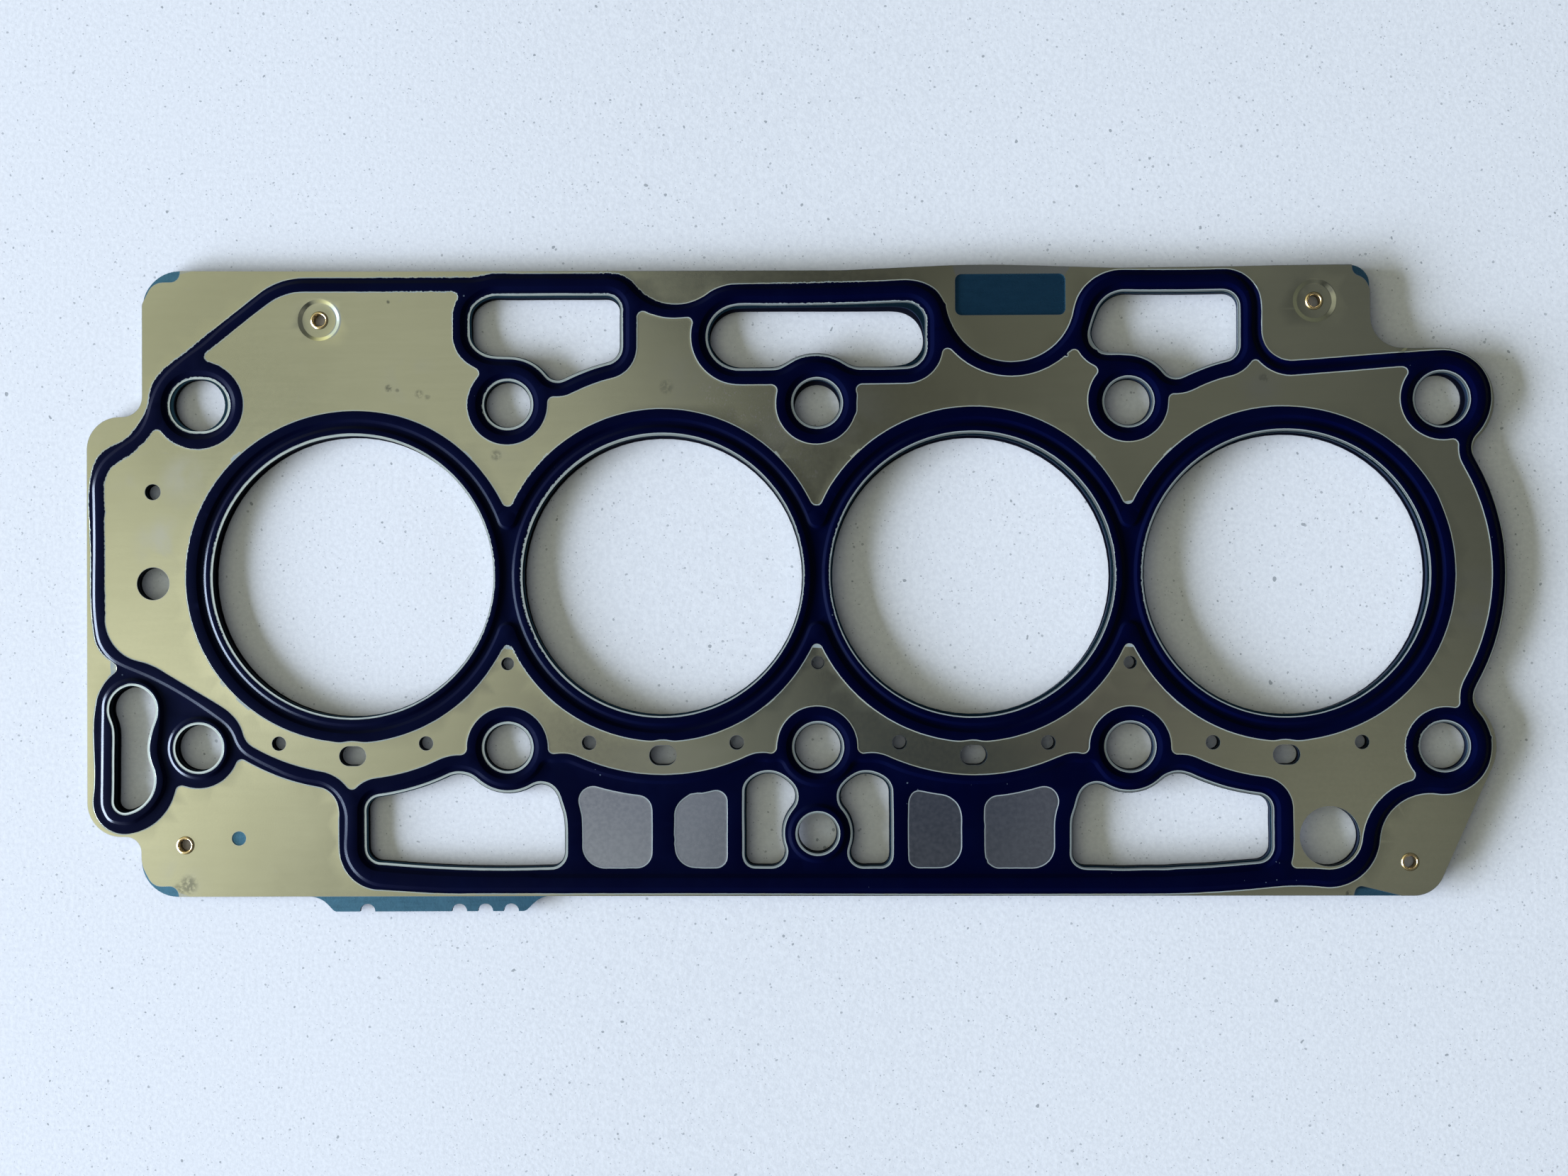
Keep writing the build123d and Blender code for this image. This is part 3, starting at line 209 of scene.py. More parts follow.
PRINT_BORES = [  # edge of the print island round the bores
    (169.8, 17.25, 111.2), (167.65, 22.16, 119.9), (152.55, 38.06, 148.6), (98.93, 35.82, -141.5),
    (87.68, 22.77, -120.5), (83.88, 19.11, 152.5), (82.53, 21.03, 116.2), (66, 39.19, 148.8), (3.95, 24.64, -122.9),
    (-1.5, 19.31, 136.2), (-2.42, 20.83, 117.6), (-7.65, 28.81, 129.1), (-82.81, 20.84, -116.9),
    (-83.7, 19.3, -137.7), (-88.66, 23.72, 121.5), (-116.39, 44.09, 167), (-173.02, 6.29, -98),
    (-134.48, -45.03, -8.2), (-129.75, -45.3, 12.9), (-122.63, -45.3, 6.6), (-88.88, -23.98, 58.3),
    (-83.55, -19.54, -56.3), (-82.71, -21.13, -62.7), (-46.35, -45.13, -4.8), (-42.21, -44.79, -1.3),
    (-38.66, -45.12, 4.5), (-3.29, -22.54, 60.2), (0.52, -18.95, -29.9), (1.88, -20.86, -62.2), (37.4, -45.21, -6.3),
    (43.9, -45.11, -12.9), (49.25, -44.94, 8.5), (82.51, -21.25, 63.2), (84.72, -18.85, -0.4), (87.05, -21.29, -61.7),
    (122.89, -45.25, -5), (127.02, -44.92, -1.9), (131.18, -45.22, 5.9), (164.61, -26.46, 54.6),
]
PRINT_SLOT_A = [  # print edge at slot A
    (-75.88, 77.68, -179.9), (-83.07, 77.68, 179.5), (-92.91, 76.16, -143.7), (-95.35, 73.69, -116.1),
    (-96.11, 66.64, -90.1), (-89.21, 59.67, -6.8), (-80.92, 58.83, -17.2), (-69.25, 53.26, 24.7),
    (-63.76, 55.65, 21.2), (-53.2, 61.97, 81.1), (-53.1, 64.95, 90.2), (-56.81, 77.51, 167.8), (-58.6, 77.62, -179.8),
]
PRINT_SLOT_B = [  # print edge at slot B
    (-3.66, 74.64, -179.3), (-17.45, 74.67, 178.4), (-23.99, 74.13, -163.9), (-28.77, 59.71, -53.5),
    (-12.05, 56.01, 1.1), (-7.14, 57.95, 32.6), (3.68, 59.25, -17), (10.73, 56.14, -11.7), (14.28, 56.03, -1.5),
    (30.34, 61.81, 86.1), (30.39, 66, 90), (29.51, 72.42, 122.1), (17.92, 75.09, -177.4),
]
PRINT_SLOT_C = [  # print edge at slot C
    (98.2, 77.69, 179.9), (89.8, 77.72, 179.5), (79.32, 76.37, -146.1), (74.09, 66.74, -103.8), (76.02, 61.26, -26.3),
    (76.46, 61.12, -52.1), (76.73, 60.64, -43.7), (78.29, 59.88, -9.9), (81.88, 59.73, -1), (88.36, 58.92, -18.4),
    (99.99, 53.39, 24.9), (104.93, 55.5, 21.3), (115.64, 62.2, 87.8), (115.65, 62.8, 90), (115.65, 72.98, 90.7),
    (101, 77.68, -179.3),
]
PRINT_SLOT_D = [  # print edge at slot D
    (-193.99, -48.87, -89.7), (-194, -51.83, -89.5), (-189.51, -65.46, 11.9), (-182.33, -59.68, 66),
    (-182.97, -43.99, 75.3), (-181.24, -35.01, 102.5), (-189.21, -29.18, -176.4), (-190.82, -29.69, -159.5),
    (-195.21, -38.41, -73.7), (-194.02, -42.39, -85.8),
]
PRINT_SLOT_E = [  # print edge at slot E
    (-124.53, -68.06, -89.5), (-124.53, -68.66, -90.4), (-121.61, -78.82, -23.7), (-118.08, -79.31, -5.1),
    (-76.33, -80.62, 1.8), (-70.04, -79.37, 42.4), (-68.43, -71.47, 89.9), (-69.26, -63.82, 108),
    (-71.53, -58.32, 128.2), (-87.73, -58.34, 166), (-98.38, -53.44, 179.8), (-105.13, -55.68, -158.3),
    (-117.15, -59.11, -169.6), (-123.28, -61.04, -134.1),
]
PRINT_SLOT_I = [  # print edge at slot I
    (68.37, -72.23, -89.3), (69.47, -79.11, -47.3), (76.82, -80.71, -1.1), (78.62, -80.73, -3.7),
    (92.95, -80.72, -1.3), (99.51, -80.36, 1.4), (117.36, -79.17, 4.9), (119.74, -78.96, 7.4), (123.95, -65.6, 90.3),
    (123.85, -63.21, 100.9), (113.28, -58.31, 167.5), (104.18, -55.41, 158), (100.32, -53.81, 163.1),
    (84.99, -58.75, -179), (73, -57.12, -150.7), (69.81, -62.31, -103.2), (68.47, -67.44, -92.7),
]
PRINT_SLOT_F = [  # print edge at slot F
    (-20.9, -66.91, -89.6), (-20.87, -73.5, -90.1), (-20.47, -78.13, -67.4), (-12.97, -80.29, -0.3),
    (-8.25, -74.72, 100.8), (-8.88, -72.4, 101), (-6.61, -56.89, 130.1), (-15.62, -53.49, -165.3),
    (-20.87, -59.21, -90.5),
]
PRINT_SLOT_G = [  # print edge at slot G
    (20.64, -69.39, 90.3), (20.54, -59.2, 91.2), (14, -53.37, 172.8), (6.22, -57.01, -129.6), (8.5, -72.51, -102.1),
    (7.8, -75.41, -95.6), (12.56, -80.31, 2), (20.12, -78.31, 63.3), (20.63, -74.19, 89.4),
]
BARE_1 = [  # bare window in the print
    (-45.21, -70.55, 89.8), (-48.52, -60.12, 166.8), (-50.28, -59.85, 172.2), (-65.7, -61.49, -92.1),
    (-65.29, -63.8, -77.1), (-64.77, -66.74, -87.5), (-61.66, -79.26, -31.1), (-54.06, -80.24, -1),
    (-49.99, -80.18, -2.8), (-47.69, -79.69, 26.9),
]
BARE_2 = [  # bare window in the print
    (-24.68, -70.68, 89.7), (-24.66, -65.28, 90.1), (-26.14, -59.2, 146.8), (-31.33, -59.34, -167.2),
    (-33.62, -59.45, -167.1), (-35.33, -59.84, -147.2), (-38.12, -62.06, -129.7), (-39.52, -70.1, -91.6),
    (-39.44, -73.02, -99.6), (-39.29, -74.73, -86.4), (-33.87, -80.09, -3.4), (-24.72, -77.18, 84.8),
    (-24.68, -75.38, 90.2),
]
BARE_3 = [  # bare window in the print
    (39.24, -70.19, 90.1), (38.68, -63.67, 111.2), (34.83, -60.14, 160.9), (31.32, -59.51, 168.8),
    (25.23, -59.98, -122.9), (24.37, -65.58, -91.4), (24.36, -75.16, -90), (25.55, -79.49, -35.4),
    (30.19, -80.18, -0.2), (33.79, -80.1, 5.9), (38.15, -77.36, 56),
]
BARE_4 = [  # bare window in the print
    (53.74, -80.26, -0.8), (62.36, -78.74, 40.4), (64.51, -68.58, 89.7), (64.41, -58.9, 135.1),
    (55.92, -58.99, -166.7), (45.1, -64.09, -92.2), (45.17, -68.22, -80.9), (45.12, -69.9, -89.2),
    (45.18, -74.97, -88.7), (45.41, -77.2, -80.6), (45.83, -78.01, -75.9), (45.94, -78.56, -64.6),
    (46.77, -79.38, -38.8), (52.54, -80.26, -0.7),
]

LOBE_LOW = (170.0, -47.1, 14.1)     # bolt lobes on the right edge: centre, radius
LOBE_TOP = (170.0, 47.1, 14.2)
BULGE = (127.0, 0.0, 60.3)          # right edge round cylinder 4
NECK_LOW_R = 5.26                   # concave fillets between the bulge and the lobes
NECK_TOP_R = 5.44

# outline corners, counter-clockwise from the top of the upper right lobe: x, y, corner radius
CORNERS_EDGE = [(82.0, 83.68, 80.0), (44.0, 84.95, 300.0), (6.5, 83.42, 80.0), (-120.0, 83.93, 400.0)]
CORNERS_LEFT = [(-186.0, 44.2, 5.5), (-201.35, 44.0, 9.0), (-200.9, -71.45, 9.5), (-186.0, -71.5, 4.2)]
# the beaded sheets are cut back at four corners, and have no tab
CUT_TR = [(150.7, 61.3, 8.6), (150.65, 77.3, 0.3), (149.0, 80.9, 4.0), (146.0, 81.3, 2.2), (145.7, 84.12, 0.2)]
CUT_TL = [(-175.55, 84.37, 0.2), (-175.9, 81.25, 2.6), (-183.1, 81.2, 4.5), (-186.1, 75.2, 2.0)]
CUT_BL = [(-185.9, -79.2, 9.0), (-182.7, -85.15, 4.0), (-176.0, -84.95, 2.6), (-175.5, -87.9, 0.2)]
CUT_BR = [(-73.2, -87.66, 40.0), (145.3, -87.5, 0.2), (146.0, -84.6, 1.8), (158.2, -87.58, 0.3), (167.1, -87.6, 8.6)]


# ---- plane geometry -------------------------------------------------------------------------------------
# A loop is a list of lines ("L", x0, y0, x1, y1, h0, h1), h being the heading of the smooth curve at either
# end, and of arcs ("A", cx, cy, r, t0, t1).
def line(x0, y0, x1, y1):
    h = math.atan2(y1 - y0, x1 - x0)
    return ("L", x0, y0, x1, y1, h, h)


def tangent_arc(p, heading, q):
    """Line or arc from p, leaving along heading, to q."""
    tx, ty = math.cos(heading), math.sin(heading)
    vx, vy = q[0] - p[0], q[1] - p[1]
    along, left = vx * tx + vy * ty, -vx * ty + vy * tx
    chord2 = vx * vx + vy * vy
    turn = 2 * math.atan2(left, along)
    if abs(left) < 1e-9 or chord2 / abs(2 * left) > 3000.0:
        return ("L", p[0], p[1], q[0], q[1], heading, heading + turn)
    r = chord2 / (2 * left)
    cx, cy = p[0] - ty * r, p[1] + tx * r
    t0 = math.atan2(p[1] - cy, p[0] - cx)
    return ("A", cx, cy, abs(r), t0, t0 + turn)


def biarc_loop(knots):
    """Closed smooth loop through knots (x, y, heading)."""
    loop = []
    for (x0, y0, h0), (x1, y1, h1) in zip(knots, knots[1:] + knots[:1]):
        a0, a1 = math.radians(h0), math.radians(h1)
        t0, t1 = (math.cos(a0), math.sin(a0)), (math.cos(a1), math.sin(a1))
        v = (x1 - x0, y1 - y0)
        a = 2 * (t0[0] * t1[0] + t0[1] * t1[1] - 1)
        b = -2 * (v[0] * (t0[0] + t1[0]) + v[1] * (t0[1] + t1[1]))
        c = v[0] ** 2 + v[1] ** 2
        if abs(a) < 1e-9:
            d = -c / b
        else:
            root = math.sqrt(b * b - 4 * a * c)
            d = min(s for s in ((-b - root) / (2 * a), (-b + root) / (2 * a)) if s > 0)
        q = ((x0 + d * t0[0] + x1 - d * t1[0]) / 2, (y0 + d * t0[1] + y1 - d * t1[1]) / 2)
        first = tangent_arc((x0, y0), a0, q)
        back = tangent_arc((x1, y1), a1 + math.pi, q)      # the second arc, walked backwards
        if back[0] == "L":
            second = ("L", q[0], q[1], x1, y1, back[6] - math.pi, a1)
        else:
            second = ("A", back[1], back[2], back[3], back[5], back[4])
        loop += [first, second]
    return loop


def circle(x, y, r):
    return [("A", x, y, r, 0.0, 2 * math.pi)]


def obround(x, y, r, straight):
    s = straight / 2
    return [
        line(x - s, y - r, x + s, y - r), ("A", x + s, y, r, -math.pi / 2, math.pi / 2),
        line(x + s, y + r, x - s, y + r), ("A", x - s, y, r, math.pi / 2, 1.5 * math.pi),
    ]


def groove_loop():
    """Union of four discs in a row with filleted waists."""
    n = 4
    xs = [(i - 1.5) * PITCH for i in range(n)]
    yf = math.sqrt((GROOVE_R + APEX_R) ** 2 - (PITCH / 2) ** 2)
    f = math.atan2(yf, PITCH / 2)
    pi = math.pi
    loop = [("A", xs[3], 0.0, GROOVE_R, pi + f, 3 * pi - f)]
    for i in (2, 1, 0):
        loop.append(("A", xs[i] + PITCH / 2, yf, APEX_R, -f, -pi + f))
        loop.append(("A", xs[i], 0.0, GROOVE_R, f, pi - f if i else 2 * pi - f))
    for i in (0, 1, 2):
        loop.append(("A", xs[i] + PITCH / 2, -yf, APEX_R, pi - f, f))
        if i < 2:
            loop.append(("A", xs[i + 1], 0.0, GROOVE_R, pi + f, 2 * pi - f))
    return loop


def offset(loop, d):
    """Parallel loop, d outwards for a counter-clockwise loop."""
    out = []
    for s in loop:
        if s[0] == "L":
            _, x0, y0, x1, y1, h0, h1 = s
            out.append(("L", x0 + d * math.sin(h0), y0 - d * math.cos(h0),
                        x1 + d * math.sin(h1), y1 - d * math.cos(h1), h0, h1))
        else:
            _, cx, cy, r, t0, t1 = s
            r2 = r + d if t1 > t0 else r - d
            assert r2 > 0.05, ("offset too large", s, d)
            out.append(("A", cx, cy, r2, t0, t1))
    return out


def moved(loop, dx, dy):
    return [(s[0], s[1] + dx, s[2] + dy, s[3] + dx, s[4] + dy) + s[5:] if s[0] == "L" else
            (s[0], s[1] + dx, s[2] + dy) + s[3:] for s in loop]


def corner_path(points):
    """Lines through points (x, y, r), corners rounded with r; the first and last points are plain ends."""
    segs = []
    here = points[0][:2]
    for a, b, c in zip(points, points[1:], points[2:]):
        ux, uy = a[0] - b[0], a[1] - b[1]
        vx, vy = c[0] - b[0], c[1] - b[1]
        lu, lv = math.hypot(ux, uy), math.hypot(vx, vy)
        ux, uy, vx, vy = ux / lu, uy / lu, vx / lv, vy / lv
        half = math.acos(max(-1.0, min(1.0, ux * vx + uy * vy))) / 2
        t = b[2] / math.tan(half)
        s, e = (b[0] + ux * t, b[1] + uy * t), (b[0] + vx * t, b[1] + vy * t)
        bx, by = ux + vx, uy + vy
        lb = math.hypot(bx, by)
        k = b[2] / math.sin(half)
        cx, cy = b[0] + bx / lb * k, b[1] + by / lb * k
        t0, t1 = math.atan2(s[1] - cy, s[0] - cx), math.atan2(e[1] - cy, e[0] - cx)
        t1 = t0 + (t1 - t0 + math.pi) % (2 * math.pi) - math.pi
        if math.hypot(s[0] - here[0], s[1] - here[1]) > 1e-4:
            segs.append(line(*here, *s))
        segs.append(("A", cx, cy, b[2], t0, t1))
        here = e
    segs.append(line(*here, *points[-1][:2]))
    return segs


def fillet_centre(c1, c2, r, side):
    """Centre of the circle of radius r outside and tangent to circles c1 and c2."""
    d = math.hypot(c2[0] - c1[0], c2[1] - c1[1])
    a, b = c1[2] + r, c2[2] + r
    m = (a * a - b * b + d * d) / (2 * d)
    h = math.sqrt(a * a - m * m) * side
    ux, uy = (c2[0] - c1[0]) / d, (c2[1] - c1[1]) / d
    return c1[0] + m * ux - h * uy, c1[1] + m * uy + h * ux


def outline(corners):
    """Closed outline: corners from the top lobe round to the low right corner, then lobes and bulge."""
    px, py = corners[-1][:2]
    dx, dy = LOBE_LOW[0] - px, LOBE_LOW[1] - py
    # tangent from the low right corner to the low lobe, touching it on its right
    reach = math.sqrt(dx * dx + dy * dy - LOBE_LOW[2] ** 2)
    edge = math.atan2(dy, dx) - math.asin(LOBE_LOW[2] / math.hypot(dx, dy))
    touch = (px + reach * math.cos(edge), py + reach * math.sin(edge))
    segs = corner_path([(LOBE_TOP[0], LOBE_TOP[1] + LOBE_TOP[2], 0)] + corners + [touch + (0,)])

    def ang(c, p):
        return math.atan2(p[1] - c[1], p[0] - c[0])

    n1 = fillet_centre(LOBE_LOW, BULGE, NECK_LOW_R, -1)
    n2 = fillet_centre(LOBE_TOP, BULGE, NECK_TOP_R, 1)
    tau = 2 * math.pi
    segs.append(("A",) + LOBE_LOW + (ang(LOBE_LOW, touch), ang(LOBE_LOW, n1)))
    segs.append(("A",) + n1 + (NECK_LOW_R, ang(n1, LOBE_LOW) % tau, ang(n1, BULGE) % tau))
    segs.append(("A",) + BULGE + (ang(BULGE, n1), ang(BULGE, n2)))
    segs.append(("A",) + n2 + (NECK_TOP_R, ang(n2, BULGE) % tau, ang(n2, LOBE_TOP) % tau))
    segs.append(("A",) + LOBE_TOP + (ang(LOBE_TOP, n2), math.pi / 2))
    return segs


# ---- sampling -------------------------------------------------------------------------------------------
def sample(loop, step=1.5, sag=0.012, d=0.0):
    """Points of the closed loop and their outward normals; d moves the points outwards."""
    pts, nor = [], []
    for s in loop:
        if s[0] == "L":
            _, x0, y0, x1, y1, h0, h1 = s
            length = math.hypot(x1 - x0, y1 - y0)
            if length < 1e-6:
                continue
            n = max(1, math.ceil(length / (step * 2)))
            for k in range(n):
                t = k / n
                h = h0 + (math.remainder(h1 - h0, 2 * math.pi)) * t
                pts.append((x0 + (x1 - x0) * t, y0 + (y1 - y0) * t))
                nor.append((math.sin(h), -math.cos(h)))
        else:
            _, cx, cy, r, t0, t1 = s
            span = abs(t1 - t0)
            if span * r < 1e-6:
                continue
            n = max(1, math.ceil(span * r / min(step, math.sqrt(8 * max(r, 0.4) * sag))), math.ceil(span / 0.45))
            sign = 1.0 if t1 > t0 else -1.0
            for k in range(n):
                t = t0 + (t1 - t0) * k / n
                pts.append((cx + r * math.cos(t), cy + r * math.sin(t)))
                nor.append((sign * math.cos(t), sign * math.sin(t)))
    pts, nor = np.array(pts), np.array(nor)
    if area(pts) < 0:
        nor = -nor
    return pts + d * nor, nor


def area(p):
    q = np.roll(p, -1, axis=0)
    return 0.5 * float(np.sum(p[:, 0] * q[:, 1] - q[:, 0] * p[:, 1]))


def inside(poly, pts):
    """Even-odd test of pts against one polygon."""
    out = np.zeros(len(pts), bool)
    lo, hi = poly.min(0), poly.max(0)
    near = np.nonzero(((pts >= lo) & (pts <= hi)).all(1))[0]
    if not len(near):
        return out
    x, y = pts[near, 0], pts[near, 1]
    hit = np.zeros(len(near), bool)
    a, b = poly, np.roll(poly, -1, axis=0)
    for (x0, y0), (x1, y1) in zip(a, b):
        if y0 == y1:
            continue
        hit ^= ((y0 > y) != (y1 > y)) & (x < (x1 - x0) * (y - y0) / (y1 - y0) + x0)
    out[near] = hit
    return out


class Near:
    """Signed distance to one or more loops: negative inside a counter-clockwise loop."""

    def __init__(self, *loops):
        fine = [sample(l, 0.12, 0.001) for l in loops]
        self.p = np.vstack([f[0] for f in fine])
        self.n = np.vstack([f[1] for f in fine])
        self.tree = kdtree.KDTree(len(self.p))
        for i, q in enumerate(self.p):
            self.tree.insert((q[0], q[1], 0.0), i)
        self.tree.balance()
        self.lo, self.hi = self.p.min(0), self.p.max(0)

    def __call__(self, pts, reach=None, far=9.0):
        """reach: points further than this from the loops' box read far."""
        out = np.full(len(pts), far)
        if reach is None:
            idx = range(len(pts))
        else:
            idx = np.nonzero(((pts >= self.lo - reach) & (pts <= self.hi + reach)).all(1))[0]
        for i in idx:
            q = pts[i]
            _, k, dist = self.tree.find((q[0], q[1], 0.0))
            off = (q[0] - self.p[k, 0]) * self.n[k, 0] + (q[1] - self.p[k, 1]) * self.n[k, 1]
            out[i] = off if dist < 0.6 else math.copysign(dist, off)
        return out


BEND = 0.08     # share of a slope's width that each of its two bends takes
SPAN = 0.86     # the sheet's own slope ends at this share of the stated foot and head


def shelf(t):
    """1 inside t = -SPAN, 0 outside t = SPAN, a straight slope with short bends between them."""
    s = np.clip(0.5 - 0.5 * np.asarray(t) / SPAN, 0.0, 1.0)
    low = s * s / (2 * BEND)
    high = 1 - BEND - (1 - s) ** 2 / (2 * BEND)
    return np.where(s < BEND, low, np.where(s > 1 - BEND, high, s - BEND / 2)) / (1 - BEND)


# ---- loops of the top sheet -------------------------------------------------------------------------------
SLOTS = {"A": SLOT_A, "B": SLOT_B, "C": SLOT_C, "D": SLOT_D, "E": SLOT_E, "I": SLOT_I, "F": SLOT_F, "G": SLOT_G}
SLOTS = {name: biarc_loop(knots) for name, knots in SLOTS.items()}
BORES = [((i - 1.5) * PITCH, 0.0) for i in range(4)]
BOLTS = [(i * PITCH, side * ROW) for i in (-2, -1, 0, 1, 2) for side in (1, -1) if not (abs(i) == 2 and side > 0)]
ISLAND_BOLT = (-2 * PITCH, -ROW)

edge = outline(CUT_TR + CORNERS_EDGE + CUT_TL + CORNERS_LEFT + CUT_BL + CUT_BR)
x0, y0, x1, y1 = LABEL
r, pi = LABEL_R, math.pi
label = [
    line(x0 + r, y0, x1 - r, y0), ("A", x1 - r, y0 + r, r, -pi / 2, 0.0),
    line(x1, y0 + r, x1, y1 - r), ("A", x1 - r, y1 - r, r, 0.0, pi / 2),
    line(x1 - r, y1, x0 + r, y1), ("A", x0 + r, y1 - r, r, pi / 2, pi),
    line(x0, y1 - r, x0, y0 + r), ("A", x0 + r, y0 + r, r, pi, 1.5 * pi),
]
dowel_l = obround(*DOWEL_L, DOWEL_L_R, DOWEL_L_STRAIGHT)
dowel_r = circle(*DOWEL_R, DOWEL_R_R)
sealed = [SLOTS[k] for k in "ABCDEIFG"] + [circle(*c) for c in BORE_CUTS]      # openings with a printed surround
sealed += [circle(x, y, BOLT_R) for x, y in BOLTS] + [dowel_l, dowel_r, circle(*OIL_POS, OIL_R)]
holes = list(sealed) + [label, circle(*BLIND_HOLE)]
holes += [circle(*c) for c in SMALL_HOLES]
holes += [obround(x, y, OBROUND_R, OBROUND_STRAIGHT) for x, y in OBROUNDS]
holes += [circle(x, y, EYELET_HOLE_R) for x, y, _ in EYELETS.values()]

# edges of the seal print
PRINT_R = [(-127.57, -0.04, 39.36), (-42.52, 0.05, 39.08), (42.2, 0.07, 39.25), (127.25, 0.11, 39.37)]
print_edges = [biarc_loop(k) for k in (PRINT_OUT, PRINT_IN, PRINT_BORES)]
print_holes = [biarc_loop(k) for k in (PRINT_SLOT_A, PRINT_SLOT_B, PRINT_SLOT_C, PRINT_SLOT_D, PRINT_SLOT_E,
                                       PRINT_SLOT_I, PRINT_SLOT_F, PRINT_SLOT_G)]
print_holes += [circle(*c) for c in PRINT_R] + [circle(x, y, 7.2) for x, y in BOLTS]
print_holes += [obround(*DOWEL_L, DOWEL_L_R + 0.75, DOWEL_L_STRAIGHT), circle(170.0, 47.41, 7.95),
                circle(*OIL_POS, 6.19)]
bare = [biarc_loop(k) for k in (BARE_1, BARE_2, BARE_3, BARE_4)]

# beads: loop, half width of the slope
field, lower, groove = biarc_loop(FIELD_BEAD), biarc_loop(LOWER_BEAD), groove_loop()
bead_d, corner = biarc_loop(SLOT_D_BEAD), biarc_loop(CORNER_BEAD)
slot_mid, slot_half = sum(SLOT_SLOPE) / 2, (SLOT_SLOPE[1] - SLOT_SLOPE[0]) / 2
dowel_mid, dowel_half = (DOWEL_FLAT + DOWEL_SLOPE) / 2, (DOWEL_SLOPE - DOWEL_FLAT) / 2


def rings(cx, cy, foot, head):
    """Mid radius and half width of a circular slope."""
    return circle(cx, cy, (foot + head) / 2), abs(head - foot) / 2


slopes = [(field, 0.0, HALF_SLOPE), (lower, 0.0, HALF_SLOPE), (groove, 0.0, GROOVE_HALF),
          (bead_d, 0.0, HALF_SLOPE_SHORT), (corner, 0.0, HALF_SLOPE_SHORT)]
slopes += [(SLOTS[k], slot_mid, slot_half) for k in "ABC"]
slopes += [(dowel_l, dowel_mid, dowel_half), (dowel_r, dowel_mid, dowel_half)]
for x, y in BOLTS:
    pair = ISLAND_BOLT_R if (x, y) == ISLAND_BOLT else (BOLT_FLAT_R, BOLT_SLOPE_R)
    loop, half = rings(x, y, *pair)
    slopes.append((loop, 0.0, half))
for x, y in BORES:
    loop, half = rings(x, y, BORE_RIM_FOOT_R, BORE_RIM_R)
    slopes.append((loop, 0.0, half))
loop, half = rings(*OIL_POS, *OIL_RING_R)
slopes.append((loop, 0.0, half))
for x, y, seat in EYELETS.values():
    if seat:
        loop, half = rings(x, y, *seat)
        slopes.append((loop, 0.0, half))


def print_distance(pts):
    """Distance to the print's edge, positive on the print, and the same for the bare windows alone."""
    near = Near(*(print_edges + print_holes + bare))
    dist = np.abs(near(pts))
    on = np.zeros(len(pts), bool)
    for loop in print_edges + print_holes + bare:
        on ^= inside(sample(loop, 0.5, 0.003)[0], pts)
    return np.where(on, dist, -dist), Near(*bare)(pts, 8.0)


def height(pts):
    """Share of the bead height, 0 on the carrier and 1 at the free level."""
    def ring(x, y, foot, head):
        d = np.hypot(pts[:, 0] - x, pts[:, 1] - y)
        return shelf((d - (foot + head) / 2) / (abs(foot - head) / 2))

    h = shelf(Near(field)(pts) / HALF_SLOPE)
    for k in "ABC":
        h *= 1 - shelf((Near(SLOTS[k])(pts, 6.0) - slot_mid) / slot_half)
    for loop in (dowel_l, dowel_r):
        h *= 1 - shelf((Near(loop)(pts, 6.0) - dowel_mid) / dowel_half)
    for x, y in BOLTS:
        if (x, y) != ISLAND_BOLT:
            h *= 1 - ring(x, y, BOLT_FLAT_R, BOLT_SLOPE_R)
    x, y, seat = EYELETS["eyelet_ul"]
    h *= 1 - ring(x, y, *seat)
    h *= 1 - shelf(Near(groove)(pts) / GROOVE_HALF)
    h *= 1 - shelf(Near(lower)(pts, 6.0) / HALF_SLOPE)
    for x, y in BORES:
        h = np.maximum(h, ring(x, y, BORE_RIM_FOOT_R, BORE_RIM_R))
    h = np.maximum(h, ring(*OIL_POS, *OIL_RING_R))
    h = np.maximum(h, ring(*ISLAND_BOLT, *ISLAND_BOLT_R))
    h = np.maximum(h, shelf(Near(bead_d)(pts, 6.0) / HALF_SLOPE_SHORT))
    x, y, seat = EYELETS["eyelet_ur"]
    raised = shelf(Near(corner)(pts, 6.0) / HALF_SLOPE_SHORT)
    # behind slot C it rises slowly along the edge of the sheet
    slow = np.clip((pts[:, 0] - 112.0) / 15.0, 0, 1)
    behind = np.clip((pts[:, 1] - 77.0) / 2.5, 0, 1) * (pts[:, 0] < 130.0)
    raised += (slow * slow * (3 - 2 * slow) - raised) * behind
    h = np.maximum(h, raised * (1 - ring(x, y, *seat)))
    return h


# places where the print's edge is ragged: x, y, radius, amplitude
RAGGED = [
    (-80.5, 6.0, 9.0, 0.9), (-79.5, -12.0, 11.0, 0.9), (-74.0, 22.0, 9.0, 0.6), (4.0, 8.0, 9.0, 0.6),
    (3.6, -6.0, 9.0, 0.5), (-165.5, 10.0, 5.0, 0.7), (-164.0, -14.0, 4.0, 0.7), (88.6, 0.0, 12.0, 0.5),
    (0.0, 74.0, 14.0, 0.5), (25.0, 68.0, 8.0, 0.7), (-53.0, 83.0, 12.0, 0.5), (-190.0, 20.0, 25.0, 0.45),
    (-178.0, 60.0, 16.0, 0.5), (163.2, -47.0, 5.0, 0.6), (-104.0, 83.5, 18.0, 0.5), (-92.0, 48.0, 4.0, 0.7),
]


